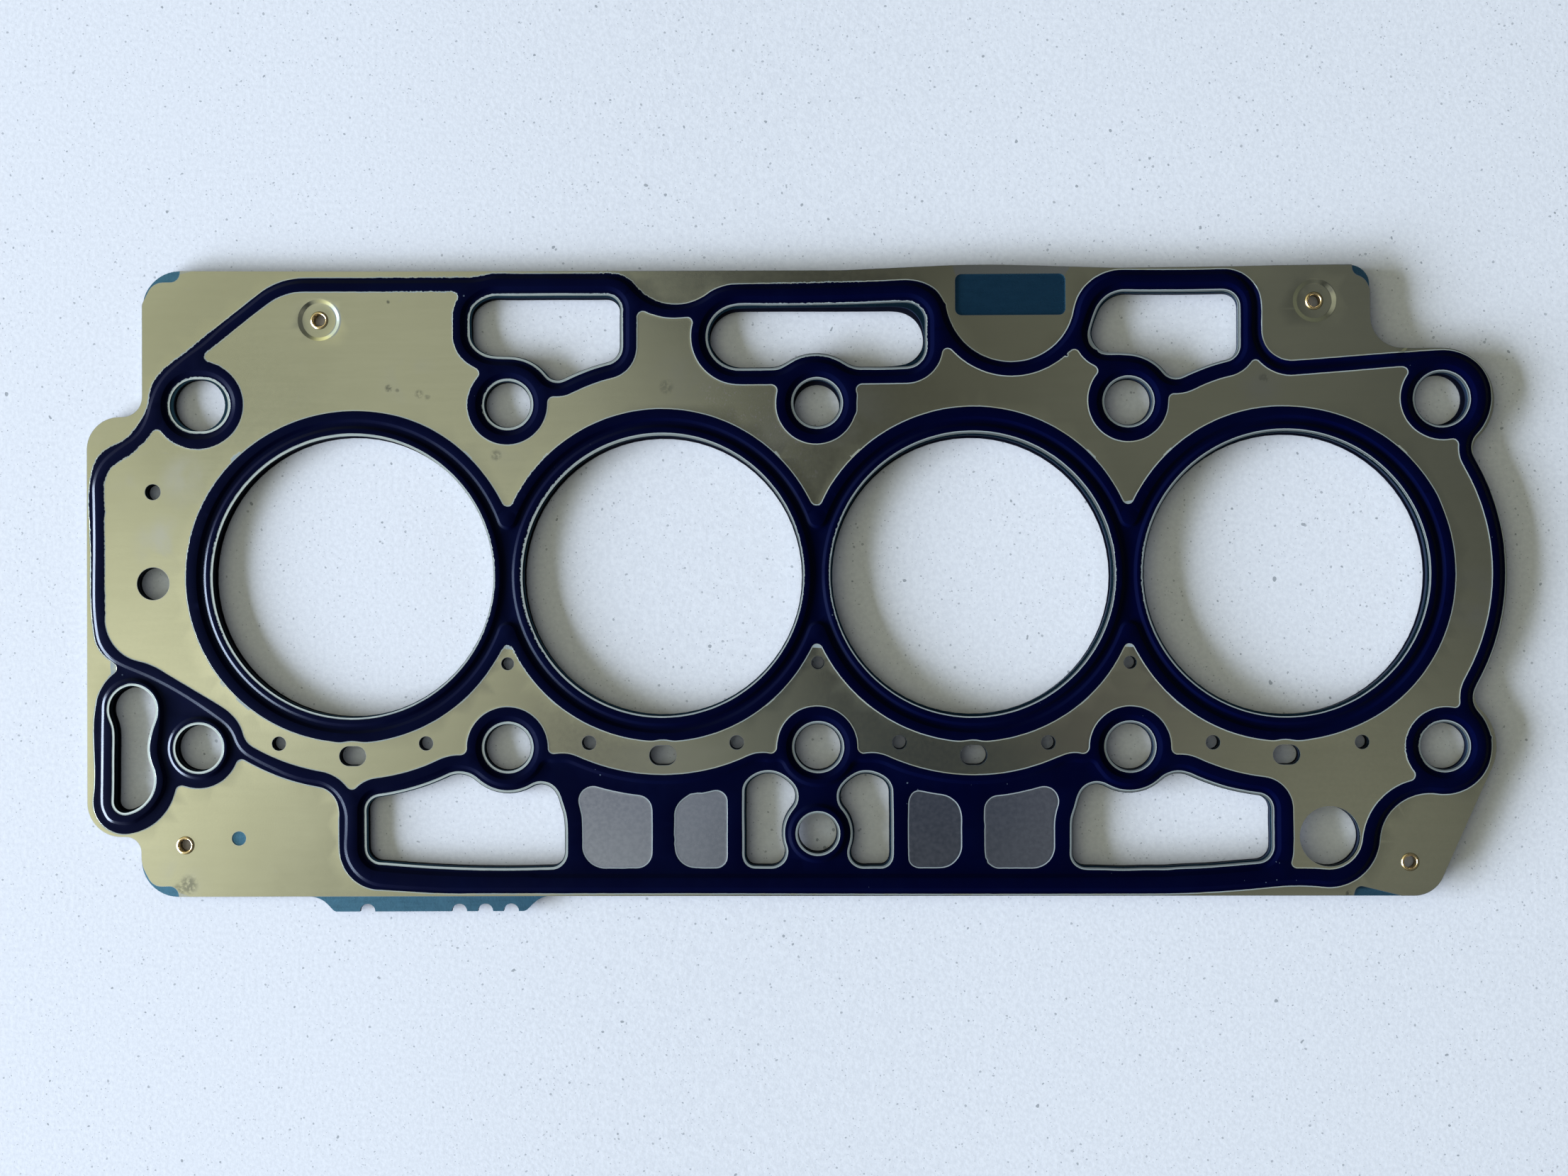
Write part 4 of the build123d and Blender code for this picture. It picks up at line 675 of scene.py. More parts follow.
def top_sheet():
    lines = [sample(edge)[0]]
    lines += [sample(l)[0] for l in holes]
    n_holes = len(lines)
    for loop, mid, half in slopes:
        for t in (-SPAN, -SPAN * (1 - 2 * BEND), -0.66 * SPAN, 0.66 * SPAN, SPAN * (1 - 2 * BEND), SPAN):
            lines.append(sample(loop, 1.6, 0.014, mid + t * half)[0])
    for loop in print_edges + print_holes + bare:
        for t in (-1.0, -0.25, 0.0, 0.25):
            lines.append(sample(loop, 1.6, 0.014, t)[0])
    pts, cons, at = [], [], 0
    for l in lines:
        pts.append(l)
        cons += [(at + i, at + (i + 1) % len(l)) for i in range(len(l))]
        at += len(l)
    gx, gy = np.meshgrid(np.arange(-200.0, 188.0, 5.0), np.arange(-88.0, 86.0, 5.0))
    gx[1::2] += 2.5
    pts.append(np.c_[gx.ravel(), gy.ravel()])
    pts = np.vstack(pts)
    co, _, tris, _, _, _ = geometry.delaunay_2d_cdt([Vector(p) for p in pts], cons, [], 0, 1e-4)
    co = np.array([tuple(v) for v in co])
    tris = np.array([t for t in tris if len(t) == 3])
    mid = co[tris].mean(1)
    keep = inside(lines[0], mid)
    for l in lines[1:n_holes]:
        keep &= ~inside(l, mid)
    tris = tris[keep]
    e = co[tris]
    twice = ((e[:, 1, 0] - e[:, 0, 0]) * (e[:, 2, 1] - e[:, 0, 1]) - (e[:, 2, 0] - e[:, 0, 0]) * (e[:, 1, 1] - e[:, 0, 1]))
    tris = np.where((twice < 0)[:, None], tris[:, ::-1], tris)
    tris = tris[np.abs(twice) > 1e-9]
    used = np.unique(tris)
    back = np.full(len(co), -1)
    back[used] = np.arange(len(used))
    co, tris = co[used], back[tris]

    h = height(co)
    pd, bd = print_distance(co)
    under = Z_TOP + BEAD_H * h
    skin = 0.035 * shelf(-pd / 0.25)
    n = len(co)
    verts = np.vstack([np.c_[co, under + SHEET_T + skin], np.c_[co, under]]) / 1000.0
    # side walls from the open edges of the triangulation
    half_edges = np.vstack([tris[:, [0, 1]], tris[:, [1, 2]], tris[:, [2, 0]]])
    key = half_edges[:, 0] * np.int64(n) + half_edges[:, 1]
    twin = half_edges[:, 1] * np.int64(n) + half_edges[:, 0]
    rim = half_edges[~np.isin(key, twin)]
    faces = [tuple(t) for t in tris.tolist()]
    faces += [(c + n, b + n, a + n) for a, b, c in tris.tolist()]
    faces += [(b, a, a + n, b + n) for a, b in rim.tolist()]
    me = bpy.data.meshes.new("top_sheet")
    me.from_pydata(verts.tolist(), [], faces)
    me.validate()
    for p in me.polygons:
        p.use_smooth = True
    rag = np.zeros(n)
    for x, y, reach, amp in RAGGED:
        d = np.hypot(co[:, 0] - x, co[:, 1] - y)
        rag = np.maximum(rag, amp * np.clip(1.5 - d / reach, 0, 1))
    rim_mm = Near(*sealed)(co)          # from the edge of a printed opening, outwards
    cut_mm = np.abs(Near(edge, *holes)(co))     # from any cut edge
    for name, values in (("print_mm", np.clip(pd, -6, 6)), ("bare_mm", np.clip(bd, -6, 6)), ("ragged", rag),
                         ("rim_mm", np.clip(rim_mm, -6, 6)), ("cut_mm", np.clip(cut_mm, 0, 6))):
        layer = me.attributes.new(name, "FLOAT", "POINT")
        layer.data.foreach_set("value", np.r_[values, values].astype(np.float32))
    # the rim of every opening keeps a crisp edge
    sharp = {(min(a, b), max(a, b)) for a, b in rim.tolist()} | {(min(a, b) + n, max(a, b) + n) for a, b in rim.tolist()}
    ev = np.zeros(len(me.edges) * 2, np.int64)
    me.edges.foreach_get("vertices", ev)
    ev = np.sort(ev.reshape(-1, 2), axis=1)
    flags = np.array([(int(a), int(b)) in sharp for a, b in ev])
    layer = me.attributes.new("sharp_edge", "BOOLEAN", "EDGE")
    layer.data.foreach_set("value", flags)
    me.update()
    print("top_sheet", len(me.vertices), "vertices", len(faces), "faces")
    return bpy.data.objects.new("top_sheet", me)

# ---- materials ------------------------------------------------------------------------------------------
# handling marks on the gold coat: x, y, radius in mm, strength
SMUDGES = [
    (-173.0, 26.0, 6.0, 0.95), (-190.0, 24.0, 4.0, 0.7), (-180.0, 9.0, 6.0, 0.85), (-112.0, 54.0, 6.0, 0.35),
    (-84.0, 34.0, 4.5, 0.4), (-37.0, 52.0, 7.0, 0.4), (5.0, 45.0, 12.0, 0.5), (-12.0, 36.0, 7.0, 0.4),
    (178.0, -8.0, 7.0, 0.5), (121.0, 52.0, 5.0, 0.4), (-175.0, -84.0, 6.0, 0.5), (172.0, 66.0, 6.0, 0.25),
]


SCUFFS = [      # x, y, radius, strength
    (-117.6, 51.6, 0.9, 0.7), (-115.2, 51.0, 0.5, 0.5), (-109.2, 50.0, 1.0, 0.55), (-106.9, 49.2, 0.7, 0.4),
    (-88.0, 33.1, 1.3, 0.5), (-41.2, 51.6, 1.7, 0.35), (-117.7, 75.4, 0.45, 0.8), (-172.9, -84.6, 2.2, 0.6),
    (-175.6, -86.0, 1.6, 0.5), (143.8, -87.0, 0.7, 0.9), (121.6, 53.1, 1.2, 0.35),
]


class Nodes:
    """Small helper that builds a node tree; a value is a number, a colour or a socket."""

    def __init__(self, name):
        self.mat = bpy.data.materials.new(name)
        self.mat.use_nodes = True
        self.tree = self.mat.node_tree
        self.tree.nodes.clear()
        self.out = self.tree.nodes.new("ShaderNodeOutputMaterial")
        self.bsdf = self.tree.nodes.new("ShaderNodeBsdfPrincipled")
        self.tree.links.new(self.bsdf.outputs[0], self.out.inputs[0])
        self.where = self.tree.nodes.new("ShaderNodeTexCoord").outputs["Object"]

    def put(self, socket, value):
        if isinstance(value, bpy.types.NodeSocket):
            self.tree.links.new(value, socket)
        elif socket.type == "RGBA":
            socket.default_value = (*value, 1.0) if len(value) == 3 else value
        else:
            socket.default_value = value

    def node(self, kind, **props):
        n = self.tree.nodes.new("ShaderNode" + kind)
        for k, v in props.items():
            setattr(n, k, v)
        return n

    def math(self, op, *values, clamp=False):
        n = self.node("Math", operation=op, use_clamp=clamp)
        for s, v in zip(n.inputs, values):
            self.put(s, v)
        return n.outputs[0]

    def mapped(self, scale=(1, 1, 1), turn=0.0, move=(0, 0, 0)):
        n = self.node("Mapping")
        self.put(n.inputs["Vector"], self.where)
        n.inputs["Scale"].default_value = scale
        n.inputs["Rotation"].default_value = (0, 0, turn)
        n.inputs["Location"].default_value = move
        return n.outputs[0]

    def noise(self, scale, detail=2.0, rough=0.5, vector=None, distortion=0.0):
        n = self.node("TexNoise")
        self.put(n.inputs["Vector"], vector or self.where)
        n.inputs["Scale"].default_value = scale
        n.inputs["Detail"].default_value = detail
        n.inputs["Roughness"].default_value = rough
        n.inputs["Distortion"].default_value = distortion
        return n.outputs["Fac"]

    def voronoi(self, scale, feature="F1", vector=None, spread=1.0):
        n = self.node("TexVoronoi", feature=feature)
        self.put(n.inputs["Vector"], vector or self.where)
        n.inputs["Scale"].default_value = scale
        n.inputs["Randomness"].default_value = spread
        return n

    def ramp(self, value, lo, hi, a=0.0, b=1.0, smooth=True):
        n = self.node("MapRange", interpolation_type="SMOOTHSTEP" if smooth else "LINEAR")
        self.put(n.inputs["Value"], value)
        n.inputs["From Min"].default_value = lo
        n.inputs["From Max"].default_value = hi
        n.inputs["To Min"].default_value = a
        n.inputs["To Max"].default_value = b
        return n.outputs[0]

    def mix(self, fac, a, b):
        n = self.node("Mix", data_type="RGBA")
        self.put(n.inputs[0], fac)
        self.put(n.inputs[6], a)
        self.put(n.inputs[7], b)
        return n.outputs[2]

    def mixf(self, fac, a, b):
        n = self.node("Mix", data_type="FLOAT")
        self.put(n.inputs[0], fac)
        self.put(n.inputs[2], a)
        self.put(n.inputs[3], b)
        return n.outputs[0]

    def attribute(self, name):
        return self.node("Attribute", attribute_type="GEOMETRY", attribute_name=name).outputs["Fac"]

    def bump(self, height, strength, distance, normal=None):
        n = self.node("Bump")
        n.inputs["Strength"].default_value = strength
        n.inputs["Distance"].default_value = distance
        self.put(n.inputs["Height"], height)
        if normal is not None:
            self.put(n.inputs["Normal"], normal)
        return n.outputs[0]

    def spot(self, x, y, radius, soft=0.6):
        """1 inside a disc on the XY plane, in mm, fading out at its edge."""
        n = self.node("VectorMath", operation="MULTIPLY_ADD")
        self.put(n.inputs[0], self.where)
        n.inputs[1].default_value = (1000.0, 1000.0, 0.0)
        n.inputs[2].default_value = (-x, -y, 0.0)
        length = self.node("VectorMath", operation="LENGTH")
        self.put(length.inputs[0], n.outputs[0])
        return self.ramp(length.outputs["Value"], radius * (1 - soft), radius * (1 + soft), 1.0, 0.0)

    def set(self, **values):
        for k, v in values.items():
            self.put(self.bsdf.inputs[k.replace("_", " ")], v)


def sheet_material():
    """Gold-coated spring steel with a navy rubber print that stands a little proud of it."""
    m = Nodes("printed_spring_steel")
    pd, bd, rag = m.attribute("print_mm"), m.attribute("bare_mm"), m.attribute("ragged")
    rim, cut = m.attribute("rim_mm"), m.attribute("cut_mm")
    # the print's edge wanders a little everywhere, and is torn where it is ragged
    wander = m.math("MULTIPLY", m.math("SUBTRACT", m.noise(420.0, 3.0, 0.6), 0.5), 0.12)
    teeth = m.math("SUBTRACT", m.noise(1250.0, 2.0, 0.65), 0.42)
    torn = m.math("MULTIPLY", m.math("MULTIPLY", teeth, rag), 1.6)
    edge_mm = m.math("ADD", pd, m.math("ADD", wander, torn))
    on = m.ramp(edge_mm, -0.14, -0.05)
    # painted highlight: a pale line just outside the print's edge, where the edge would catch the light
    painted_edge_highlight = m.math("MULTIPLY", m.ramp(edge_mm, -0.40, -0.30), m.math("SUBTRACT", 1.0, on), clamp=True)
    painted_edge_highlight = m.math("MULTIPLY", painted_edge_highlight, m.ramp(m.noise(260.0, 2.0), 0.25, 0.6, 0.55, 1.0))

    # gold coat: faint rolled grain, cloudy wipes, a few handling marks
    cloud = m.noise(16.0, 4.0, 0.55, distortion=0.6)
    fine = m.noise(900.0, 3.0, 0.6)
    grain = m.noise(60.0, 4.0, 0.6, m.mapped((1.0, 9.0, 1.0)))
    gold = m.mix(m.ramp(cloud, 0.3, 0.7), (0.81, 0.80, 0.515), (0.885, 0.875, 0.575))
    gold = m.mix(m.ramp(grain, 0.35, 0.65, 0.0, 0.16), gold, (0.75, 0.74, 0.47))
    wipe = m.ramp(m.noise(75.0, 5.0, 0.7, distortion=1.5), 0.64, 0.80, 0.0, 0.30)
    for x, y, radius, strength in SMUDGES:
        blot = m.math("MULTIPLY", m.spot(x, y, radius, 0.7), m.ramp(m.noise(70.0, 3.0, 0.5, distortion=0.8), 0.34, 0.66, 0.0, strength * 0.7))
        wipe = m.math("MAXIMUM", wipe, blot)
    gold = m.mix(wipe, gold, (0.74, 0.75, 0.69))
    scuff = None        # small dark rubs and scratches
    for x, y, radius, strength in SCUFFS:
        blot = m.math("MULTIPLY", m.spot(x, y, radius, 0.5), m.ramp(m.noise(1100.0, 3.0, 0.6), 0.36, 0.56, 0.0, strength))
        scuff = blot if scuff is None else m.math("MAXIMUM", scuff, blot)
    gold = m.mix(scuff, gold, (0.20, 0.21, 0.17))
    dust = None         # a band of fine bright grains
    for x, y, radius in ((-26.0, 49.8, 6.0), (-18.0, 43.3, 7.0), (-10.0, 36.8, 6.5), (-3.0, 29.8, 4.5)):
        part = m.spot(x, y, radius, 0.6)
        dust = part if dust is None else m.math("MAXIMUM", dust, part)
    dust = m.math("MULTIPLY", dust, m.ramp(m.noise(1500.0, 2.0, 0.7), 0.56, 0.70, 0.0, 0.75))
    gold = m.mix(dust, gold, (0.99, 0.93, 0.80))
    # painted reflection: bluish on the left-facing slope of the upper left eyelet's seat
    seat = m.math("SUBTRACT", m.spot(-136.9, 70.5, 6.15, 0.05), m.spot(-136.9, 70.5, 4.5, 0.05))
    seat = m.math("MULTIPLY", m.math("MULTIPLY", seat, m.spot(-131.9, 70.2, 4.6, 0.3)), 0.8, clamp=True)
    gold = m.mix(seat, gold, (0.50, 0.60, 0.74))
    bare_steel = m.mix(m.ramp(fine, 0.35, 0.65), (0.80, 0.855, 0.875), (0.88, 0.93, 0.945))
    in_bare = m.ramp(bd, -0.1, 0.1, 1.0, 0.0)
    metal = m.mix(in_bare, gold, bare_steel)
    # the uncoated ring that the print leaves round an opening, and the burr of every cut edge
    ring = m.math("MULTIPLY", m.ramp(rim, 1.15, 1.35, 1.0, 0.0), m.math("SUBTRACT", 1.0, on))
    metal = m.mix(ring, metal, (0.80, 0.91, 0.86))
    burr = m.ramp(cut, 0.08, 0.16, 0.6, 0.0)
    metal = m.mix(burr, metal, (0.74, 0.80, 0.80))

    specks = m.voronoi(330.0)
    speck_size = m.ramp(m.noise(45.0, 1.0), 0.55, 0.78, 0.0, 0.09)
    speck = m.math("LESS_THAN", specks.outputs["Distance"], speck_size)
    navy = m.mix(m.ramp(m.noise(55.0, 4.0, 0.6), 0.35, 0.7), (0.0002, 0.0006, 0.0125), (0.0004, 0.0012, 0.0150))
    navy = m.mix(m.math("MULTIPLY", speck, 0.5), navy, (0.12, 0.16, 0.21))
    # painted highlight along the print's edge
    colour = m.mix(painted_edge_highlight, metal, (0.33, 0.39, 0.39))
    colour = m.mix(on, colour, navy)

    off = m.math("SUBTRACT", 1.0, on)
    metallic = m.math("MULTIPLY", off, m.math("SUBTRACT", 1.0, m.math("MULTIPLY", painted_edge_highlight, 0.8)))
    rough_metal = m.ramp(fine, 0.2, 0.8, 0.17, 0.21, smooth=False)
    rough_metal = m.mixf(wipe, rough_metal, 0.30)
    rough_metal = m.mixf(ring, rough_metal, 0.32)
    rough = m.mixf(on, rough_metal, m.ramp(m.noise(120.0, 4.0), 0.3, 0.7, 0.24, 0.285))
    m.set(Base_Color=colour, Metallic=metallic, Roughness=rough)
    m.bsdf.inputs["Specular IOR Level"].default_value = 0.075
    m.bsdf.inputs["Specular Tint"].default_value = (0.72, 0.94, 1.0, 1.0)
    ridge = m.math("ADD", m.math("MULTIPLY", on, 0.035), m.math("MULTIPLY", m.noise(2600.0, 2.0), 0.006))
    n1 = m.bump(ridge, 0.6, 0.001)
    n2 = m.bump(m.noise(28.0, 2.0), 0.35, 0.0003, n1)
    m.put(m.bsdf.inputs["Normal"], n2)
    return m.mat


def carrier_material():
    """Zinc-coated steel plate, satin blue-grey, with painted shade on its ledges and cut edges."""
    m = Nodes("zinc_plate")
    cloud = m.noise(24.0, 5.0, 0.6, distortion=0.8)
    streak = m.noise(90.0, 4.0, 0.6, m.mapped((1.0, 10.0, 1.0), 0.1))
    colour = m.mix(m.ramp(cloud, 0.3, 0.7), (0.080, 0.225, 0.345), (0.115, 0.285, 0.41))
    colour = m.mix(m.ramp(streak, 0.4, 0.7, 0.0, 0.4), colour, (0.065, 0.175, 0.26))
    # darker inside the label window
    label_window_dark = m.math("MULTIPLY", m.spot(53.0, 76.5, 17.0, 0.1), 0.72)
    colour = m.mix(label_window_dark, colour, (0.008, 0.060, 0.130))
    # the plate keeps its own colour where the upper sheet leaves it bare; painted shade, near black, on the ledges
    # round the openings, which lie under the upper sheet
    place = m.node("SeparateXYZ")
    m.put(place.inputs[0], m.where)
    free_of_painted_shade = m.ramp(place.outputs[1], -0.0862, -0.0850, 1.0, 0.0)
    for x, y, radius in ((-183.0, 85.0, 9.5), (-183.0, -90.0, 12.0), (153.0, 84.0, 9.0), (175.0, -90.0, 14.0),
                         (-159.0, -71.9, 4.0), (53.0, 76.5, 19.0)):
        free_of_painted_shade = m.math("MAXIMUM", free_of_painted_shade, m.spot(x, y, radius, 0.06))
    # painted shade on the ledges
    colour = m.mix(m.math("MULTIPLY", m.math("SUBTRACT", 1.0, free_of_painted_shade), 0.85), colour, (0.006, 0.022, 0.038))
    # painted shade: the plate's cut edges, in the gap between the sheets, are painted near black
    up = m.node("SeparateXYZ")
    m.put(up.inputs[0], m.node("NewGeometry").outputs["True Normal"])
    side = m.ramp(m.math("ABSOLUTE", up.outputs[2]), 0.4, 0.7, 1.0, 0.0)
    colour = m.mix(side, colour, (0.006, 0.010, 0.020))
    m.set(Base_Color=colour, Metallic=m.mixf(side, 0.9, 0.3),
          Roughness=m.mixf(side, m.ramp(m.noise(500.0, 3.0), 0.2, 0.8, 0.24, 0.32, smooth=False), 0.5))
    m.bsdf.inputs["Specular IOR Level"].default_value = 0.1
    m.put(m.bsdf.inputs["Normal"], m.bump(m.noise(1600.0, 3.0), 0.25, 0.0001))
    return m.mat


def coated_material():
    """Black rubber-coated steel."""
    m = Nodes("black_coated_steel")
    colour = m.mix(m.ramp(m.noise(60.0, 4.0, 0.6), 0.35, 0.7), (0.0012, 0.0018, 0.0075), (0.003, 0.004, 0.011))
    worn = m.ramp(m.noise(240.0, 5.0, 0.7, distortion=1.0), 0.68, 0.80, 0.0, 0.35)
    colour = m.mix(worn, colour, (0.014, 0.016, 0.022))
    m.set(Base_Color=colour, Roughness=m.ramp(m.noise(150.0, 4.0), 0.3, 0.7, 0.42, 0.60))
    m.bsdf.inputs["Specular IOR Level"].default_value = 0.12
    m.put(m.bsdf.inputs["Normal"], m.bump(m.noise(2400.0, 3.0), 0.3, 0.0001))
    return m.mat


def brass_material():
    m = Nodes("rolled_brass")
    colour = m.mix(m.ramp(m.noise(700.0, 4.0, 0.6), 0.35, 0.7), (0.93, 0.72, 0.38), (0.72, 0.55, 0.29))
    lip = m.attribute("lip")
    # painted shade: the barrel and flanges are dark brown, only the rolled lips keep the brass colour
    colour = m.mix(lip, (0.055, 0.045, 0.035), colour)
    m.set(Base_Color=colour, Metallic=1.0, Roughness=m.ramp(m.noise(1500.0, 3.0), 0.2, 0.8, 0.22, 0.34, smooth=False))
    m.put(m.bsdf.inputs["Normal"], m.bump(m.noise(3000.0, 2.0), 0.2, 0.00004))
    return m.mat


def paper_material():
    """Pale card with a fine tooth and many small dark flecks."""
    m = Nodes("pale_card")
    tooth = m.noise(900.0, 3.0, 0.6)
    colour = m.mix(m.ramp(tooth, 0.3, 0.7), (0.735, 0.76, 0.785), (0.805, 0.83, 0.85))
    marks = None
    for size, density, lo, hi, strength in ((900.0, 1300.0, 0.38, 0.72, 0.40), (520.0, 700.0, 0.46, 0.74, 0.50), (240.0, 420.0, 0.58, 0.80, 0.65)):
        cells = m.voronoi(size)
        limit = m.ramp(m.noise(density, 1.0), lo, hi, 0.0, 0.22)
        fleck = m.math("MULTIPLY", m.math("LESS_THAN", cells.outputs["Distance"], limit), strength)
        marks = fleck if marks is None else m.math("MAXIMUM", marks, fleck)
    colour = m.mix(marks, colour, (0.17, 0.20, 0.22))
    m.set(Base_Color=colour, Roughness=0.92)
    m.bsdf.inputs["Specular IOR Level"].default_value = 0.15
    m.put(m.bsdf.inputs["Normal"], m.bump(tooth, 0.12, 0.0002))
    return m.mat

# ---- pieces ---------------------------------------------------------------------------------------------
def link(obj):
    bpy.context.scene.collection.objects.link(obj)
    return obj


def eyelet(name, cx, cy):
    """Brass eyelet with a slim rolled lip on each side, turned round its axis."""
    z0, z1 = 0.45, 1.95
    bore, lip, out, high = 1.7, 2.27, 2.48, 0.3
    top = []
    for k in range(13):     # the roll, from the barrel over to the flange
        a = math.pi * k / 12
        top.append(((bore + lip) / 2 - (lip - bore) / 2 * math.cos(a), z1 + 0.05 + (high - 0.05) * math.sin(a)))
    top.append((out, z1 + 0.05))
    top.append((out, z1))
    profile = [(bore, z0)] + top + [(2.0, z1), (2.0, z0)] + [(r, z0 - (z - z1)) for r, z in reversed(top)]
    n, m = 72, len(profile)
    # 1 on the rolled lips; the barrel and flanges get painted shade
    clear_of_painted_shade = [1.0 if bore - 0.01 < r < lip + 0.001 and not z0 - 0.01 <= z <= z1 + 0.02 else 0.0 for r, z in profile]
    verts, faces = [], []
    for i in range(n):
        a = 2 * math.pi * i / n
        for r, z in profile:
            verts.append(((cx + r * math.cos(a)) / 1000, (cy + r * math.sin(a)) / 1000, z / 1000))
    for i in range(n):
        for k in range(m):
            a, b = i * m + k, i * m + (k + 1) % m
            c, d = ((i + 1) % n) * m + (k + 1) % m, ((i + 1) % n) * m + k
            faces.append((a, b, c, d))
    me = bpy.data.meshes.new(name)
    me.from_pydata(verts, [], faces)
    layer = me.attributes.new("lip", "FLOAT", "POINT")
    layer.data.foreach_set("value", clear_of_painted_shade * n)
    me.validate()
    me.update()
    for p in me.polygons:
        p.use_smooth = True
    return link(bpy.data.objects.new(name, me))


top = link(top_sheet())
top.data.materials.append(sheet_material())
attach(top, "root")
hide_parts("top_layer")

brass = brass_material()
for name, (ex, ey, _) in EYELETS.items():
    ring = eyelet(name + "_ring", ex, ey)
    ring.data.materials.append(brass)
    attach(ring, "root")
    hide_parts(name)

for node, material in (("carrier_layer", carrier_material()), ("bottom_layer", coated_material())):
    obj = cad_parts[node]
    obj.data.materials.clear()
    obj.data.materials.append(material)

# ---- floor, light, camera ---------------------------------------------------------------------------------
# a card that dips a little towards the right, where the photograph's shadows are longer
cols = [(-4.0, 0.0)] + [(-0.13 + 0.19 * k / 12, -0.0009 * (k / 12) ** 2 * (3 - k / 6)) for k in range(13)] + [(4.0, -0.0009)]
me = bpy.data.meshes.new("floor")
me.from_pydata([(x, y, z) for x, z in cols for y in (-4.0, 4.0)], [],
               [(2 * k, 2 * k + 2, 2 * k + 3, 2 * k + 1) for k in range(len(cols) - 1)])
for p in me.polygons:
    p.use_smooth = True
floor = link(bpy.data.objects.new("floor", me))
floor.location.z = -0.00002
floor.data.materials.append(paper_material())


def area_light(name, place, size, power, colour):
    data = bpy.data.lights.new(name, "AREA")
    data.shape = "RECTANGLE"
    data.size, data.size_y = size
    data.energy = power
    data.color = colour
    obj = link(bpy.data.objects.new(name, data))
    obj.location = place
    obj.rotation_euler = (-Vector(place)).to_track_quat("-Z", "Y").to_euler()
    return obj


# a wide window low on the left, several metres away
e, az = math.radians(9.6), math.radians(197.0)
away = Vector((math.cos(az) * math.cos(e), math.sin(az) * math.cos(e), math.sin(e))) * 6.0
area_light("window", away, (5.34, 1.346), 2019.0, (0.725, 0.807, 1.0))

world = bpy.data.worlds.new("room")
bpy.context.scene.world = world
world.use_nodes = True
wt = world.node_tree
wt.nodes.clear()


def wnode(kind, *values, **props):
    n = wt.nodes.new("ShaderNode" + kind)
    for k, v in props.items():
        setattr(n, k, v)
    for s, v in zip(n.inputs, values):
        if isinstance(v, bpy.types.NodeSocket):
            wt.links.new(v, s)
        elif v is not None:
            s.default_value = v
    return n


def wramp(value, stops):
    n = wnode("ValToRGB", value)
    while len(n.color_ramp.elements) < len(stops):
        n.color_ramp.elements.new(0.5)
    for el, (at, col) in zip(n.color_ramp.elements, stops):
        el.position = at
        el.color = (*col, 1.0)
    return n.outputs[0]


split = wnode("SeparateXYZ", wt.nodes.new("ShaderNodeTexCoord").outputs["Generated"])
zc = wnode("Math", split.outputs[2], 0.05, operation="MAXIMUM").outputs[0]
u = wnode("Math", split.outputs[0], zc, operation="DIVIDE").outputs[0]
v = wnode("Math", split.outputs[1], zc, operation="DIVIDE").outputs[0]
# the room by height: a pale, warm wall on the window side, dim on the others
near_wall = wramp(split.outputs[2], [(0.0, (1.03, 1.04, 0.73)), (0.35, (1.03, 1.04, 0.73)), (0.6, (0.93, 0.94, 0.67)),
                                     (0.72, (0.50, 0.50, 0.38))])
far_wall = wramp(split.outputs[2], [(0.0, (0.14, 0.15, 0.145)), (0.35, (0.14, 0.15, 0.145)), (0.6, (0.10, 0.11, 0.11)),
                                    (0.72, (0.08, 0.085, 0.09))])
flat = wnode("Math", 1.0, wnode("Math", split.outputs[2], split.outputs[2], operation="MULTIPLY").outputs[0], operation="SUBTRACT")
flat = wnode("Math", wnode("Math", flat.outputs[0], 0.0001, operation="MAXIMUM").outputs[0], 0.5, operation="POWER").outputs[0]
heading = wnode("Math", split.outputs[0], flat, operation="DIVIDE").outputs[0]
facing = wnode("MapRange", heading, 0.0, -0.8, 0.0, 1.0, interpolation_type="SMOOTHSTEP").outputs[0]
walls = wnode("Mix", data_type="RGBA")
for s, val in ((walls.inputs[0], facing), (walls.inputs[6], far_wall), (walls.inputs[7], near_wall)):
    wt.links.new(val, s)
walls = walls.outputs[2]
# overhead, across the room from the window side to the far side
across = wnode("MapRange", u, -0.6, 0.6, 0.0, 1.0).outputs[0]
tone = [(-0.6, 0.37, 0), (-0.45, 0.35, 0), (-0.3, 0.34, 0.1), (-0.2, 0.285, 0.3), (-0.1, 0.20, 0.5), (-0.03, 0.08, 1),
        (0.03, 0.02, 1), (0.13, 0.02, 1), (0.2, 0.06, 0.8), (0.28, 0.10, 0.6), (0.42, 0.095, 0.7), (0.6, 0.06, 1)]
ceiling = wramp(across, [((a + 0.6) / 1.2, (b, b * (1.03 + 0.05 * c), b * (1.0 + 0.35 * c))) for a, b, c in tone])
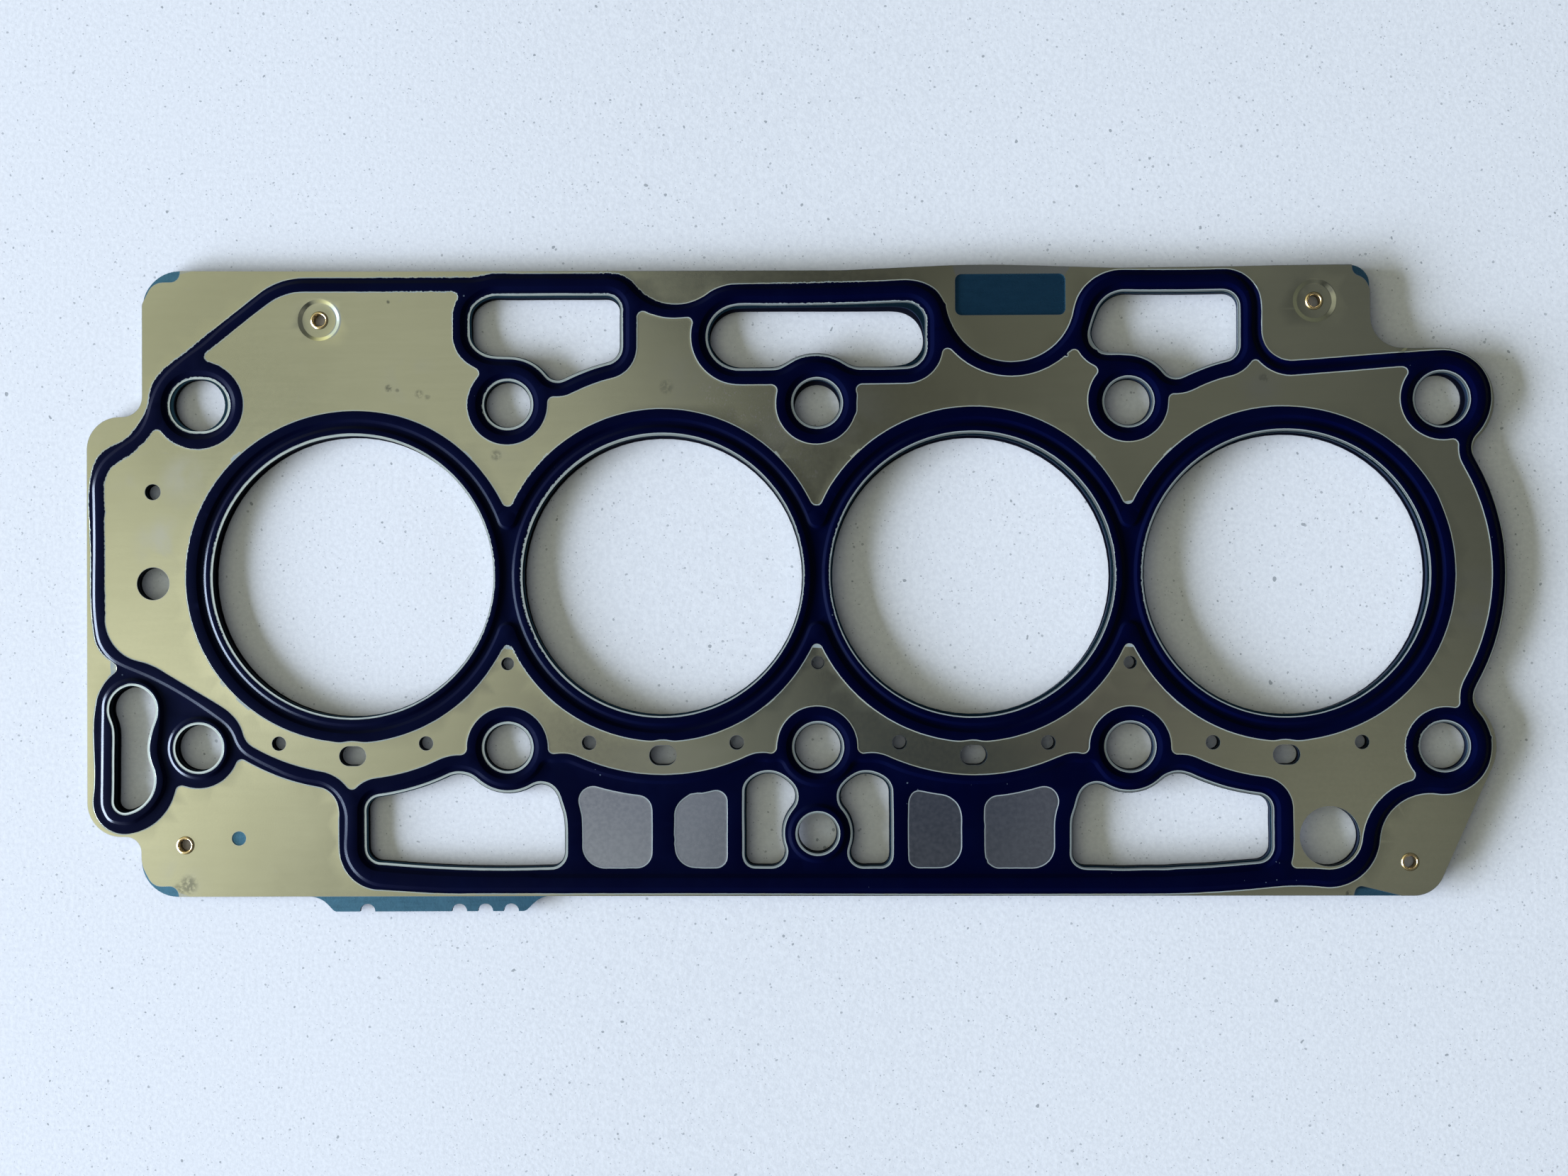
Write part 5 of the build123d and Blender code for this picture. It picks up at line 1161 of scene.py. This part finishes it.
# lamps, furniture and people that show in the metal: slopes of the direction, spread, added light
LOBES = [
    (-0.56, -0.13, 0.19, 0.19, (0.47, 0.475, 0.47)), (0.48, -0.19, 0.11, 0.11, (0.09, 0.09, 0.09)),
    (0.15, 0.22, 0.14, 0.10, (0.060, 0.060, 0.058)), (-0.08, 0.29, 0.12, 0.05, (-0.22, -0.22, -0.20)),
    (-0.06, 0.13, 0.06, 0.05, (0.07, 0.07, 0.065)), (-0.46, 0.12, 0.06, 0.11, (-0.23, -0.22, -0.19)),
    (-0.42, -0.09, 0.035, 0.06, (-0.20, -0.19, -0.15)), (-0.36, -0.23, 0.08, 0.09, (-0.20, -0.20, -0.17)),
    (-0.19, -0.13, 0.05, 0.045, (-0.42, -0.44, -0.36)), (-0.04, -0.13, 0.05, 0.06, (0.07, 0.08, 0.10)),
    (0.05, -0.12, 0.04, 0.05, (0.02, 0.035, 0.06)), (0.27, -0.12, 0.05, 0.04, (-0.015, -0.035, -0.01)),
    (0.47, -0.15, 0.18, 0.16, (0.035, 0.035, 0.03)), (0.42, 0.17, 0.10, 0.12, (0.012, 0.012, 0.012)),
    (-0.25, 0.08, 0.06, 0.10, (0.06, 0.06, 0.05)), (-0.5, 0.20, 0.06, 0.06, (0.03, 0.03, 0.03)),
    (-0.46, -0.12, 0.04, 0.05, (-0.16, -0.155, -0.14)), (-0.475, -0.25, 0.065, 0.05, (-0.20, -0.20, -0.17)),
    (0.015, 0.10, 0.035, 0.045, (-0.085, -0.078, -0.06)), (0.11, 0.29, 0.07, 0.04, (0.06, 0.06, 0.06)),
    (0.015, -0.08, 0.03, 0.03, (-0.075, -0.085, -0.06)), (0.09, -0.145, 0.03, 0.03, (-0.05, -0.05, -0.03)),
    (0.15, -0.155, 0.06, 0.03, (-0.03, -0.012, 0.018)), (0.235, -0.12, 0.025, 0.025, (-0.01, -0.022, 0.0)),
    (0.285, -0.07, 0.03, 0.02, (0.022, 0.02, 0.015)), (-0.18, -0.11, 0.03, 0.03, (-0.04, -0.08, -0.04)),
    (-0.12, -0.13, 0.03, 0.03, (0.02, 0.025, 0.09)), (0.065, 0.13, 0.025, 0.03, (0.03, 0.025, 0.02)),
]


def lobe(cu, cv, ru, rv):
    """Soft spot round the direction with slopes cu, cv."""
    du = wnode("Math", wnode("Math", u, cu, operation="SUBTRACT").outputs[0], ru, operation="DIVIDE").outputs[0]
    dv = wnode("Math", wnode("Math", v, cv, operation="SUBTRACT").outputs[0], rv, operation="DIVIDE").outputs[0]
    d2 = wnode("Math", wnode("Math", du, du, operation="MULTIPLY").outputs[0],
               wnode("Math", dv, dv, operation="MULTIPLY").outputs[0], operation="ADD").outputs[0]
    return wnode("Math", math.e, wnode("Math", d2, -1.0, operation="MULTIPLY").outputs[0], operation="POWER").outputs[0]


for cu, cv, ru, rv, light in LOBES:
    part = wnode("VectorMath", operation="SCALE")
    wt.links.new(lobe(cu, cv, ru, rv), part.inputs["Scale"])
    part.inputs[0].default_value = light
    ceiling = wnode("VectorMath", ceiling, part.outputs[0], operation="ADD").outputs[0]
ceiling = wnode("VectorMath", ceiling, (0.004, 0.004, 0.005), operation="MAXIMUM").outputs[0]
high = wnode("MapRange", split.outputs[2], 0.70, 0.84, 0.0, 1.0).outputs[0]
room = wnode("Mix", data_type="RGBA")
for s, val in ((room.inputs[0], high), (room.inputs[6], walls), (room.inputs[7], ceiling)):
    wt.links.new(val, s)
back = wnode("Background", room.outputs[2])
back.inputs[1].default_value = 1.0
wt.links.new(back.outputs[0], wt.nodes.new("ShaderNodeOutputWorld").inputs[0])

# camera straight above, as measured: centre, axes and focal length
right = Vector((0.99992827, -0.00299300, -0.01159738))
down = Vector((-0.00309452, -0.99995696, -0.00874611))
ahead = Vector((-0.01157070, 0.00878137, -0.99989450))
cam = bpy.data.cameras.new("camera")
cam.sensor_fit = "HORIZONTAL"
cam.sensor_width = 36.0
cam.lens = 36.0 * 1661.43 / 2212.0
cam.clip_start, cam.clip_end = 0.005, 50.0
camera = link(bpy.data.objects.new("camera", cam))
m = Matrix((right, -down, -ahead)).transposed().to_4x4()
m.translation = Vector((-5.4345, -6.4098, 324.0655)) / 1000
camera.matrix_world = m
bpy.context.scene.camera = camera
bpy.context.scene.view_settings.view_transform = "Standard"
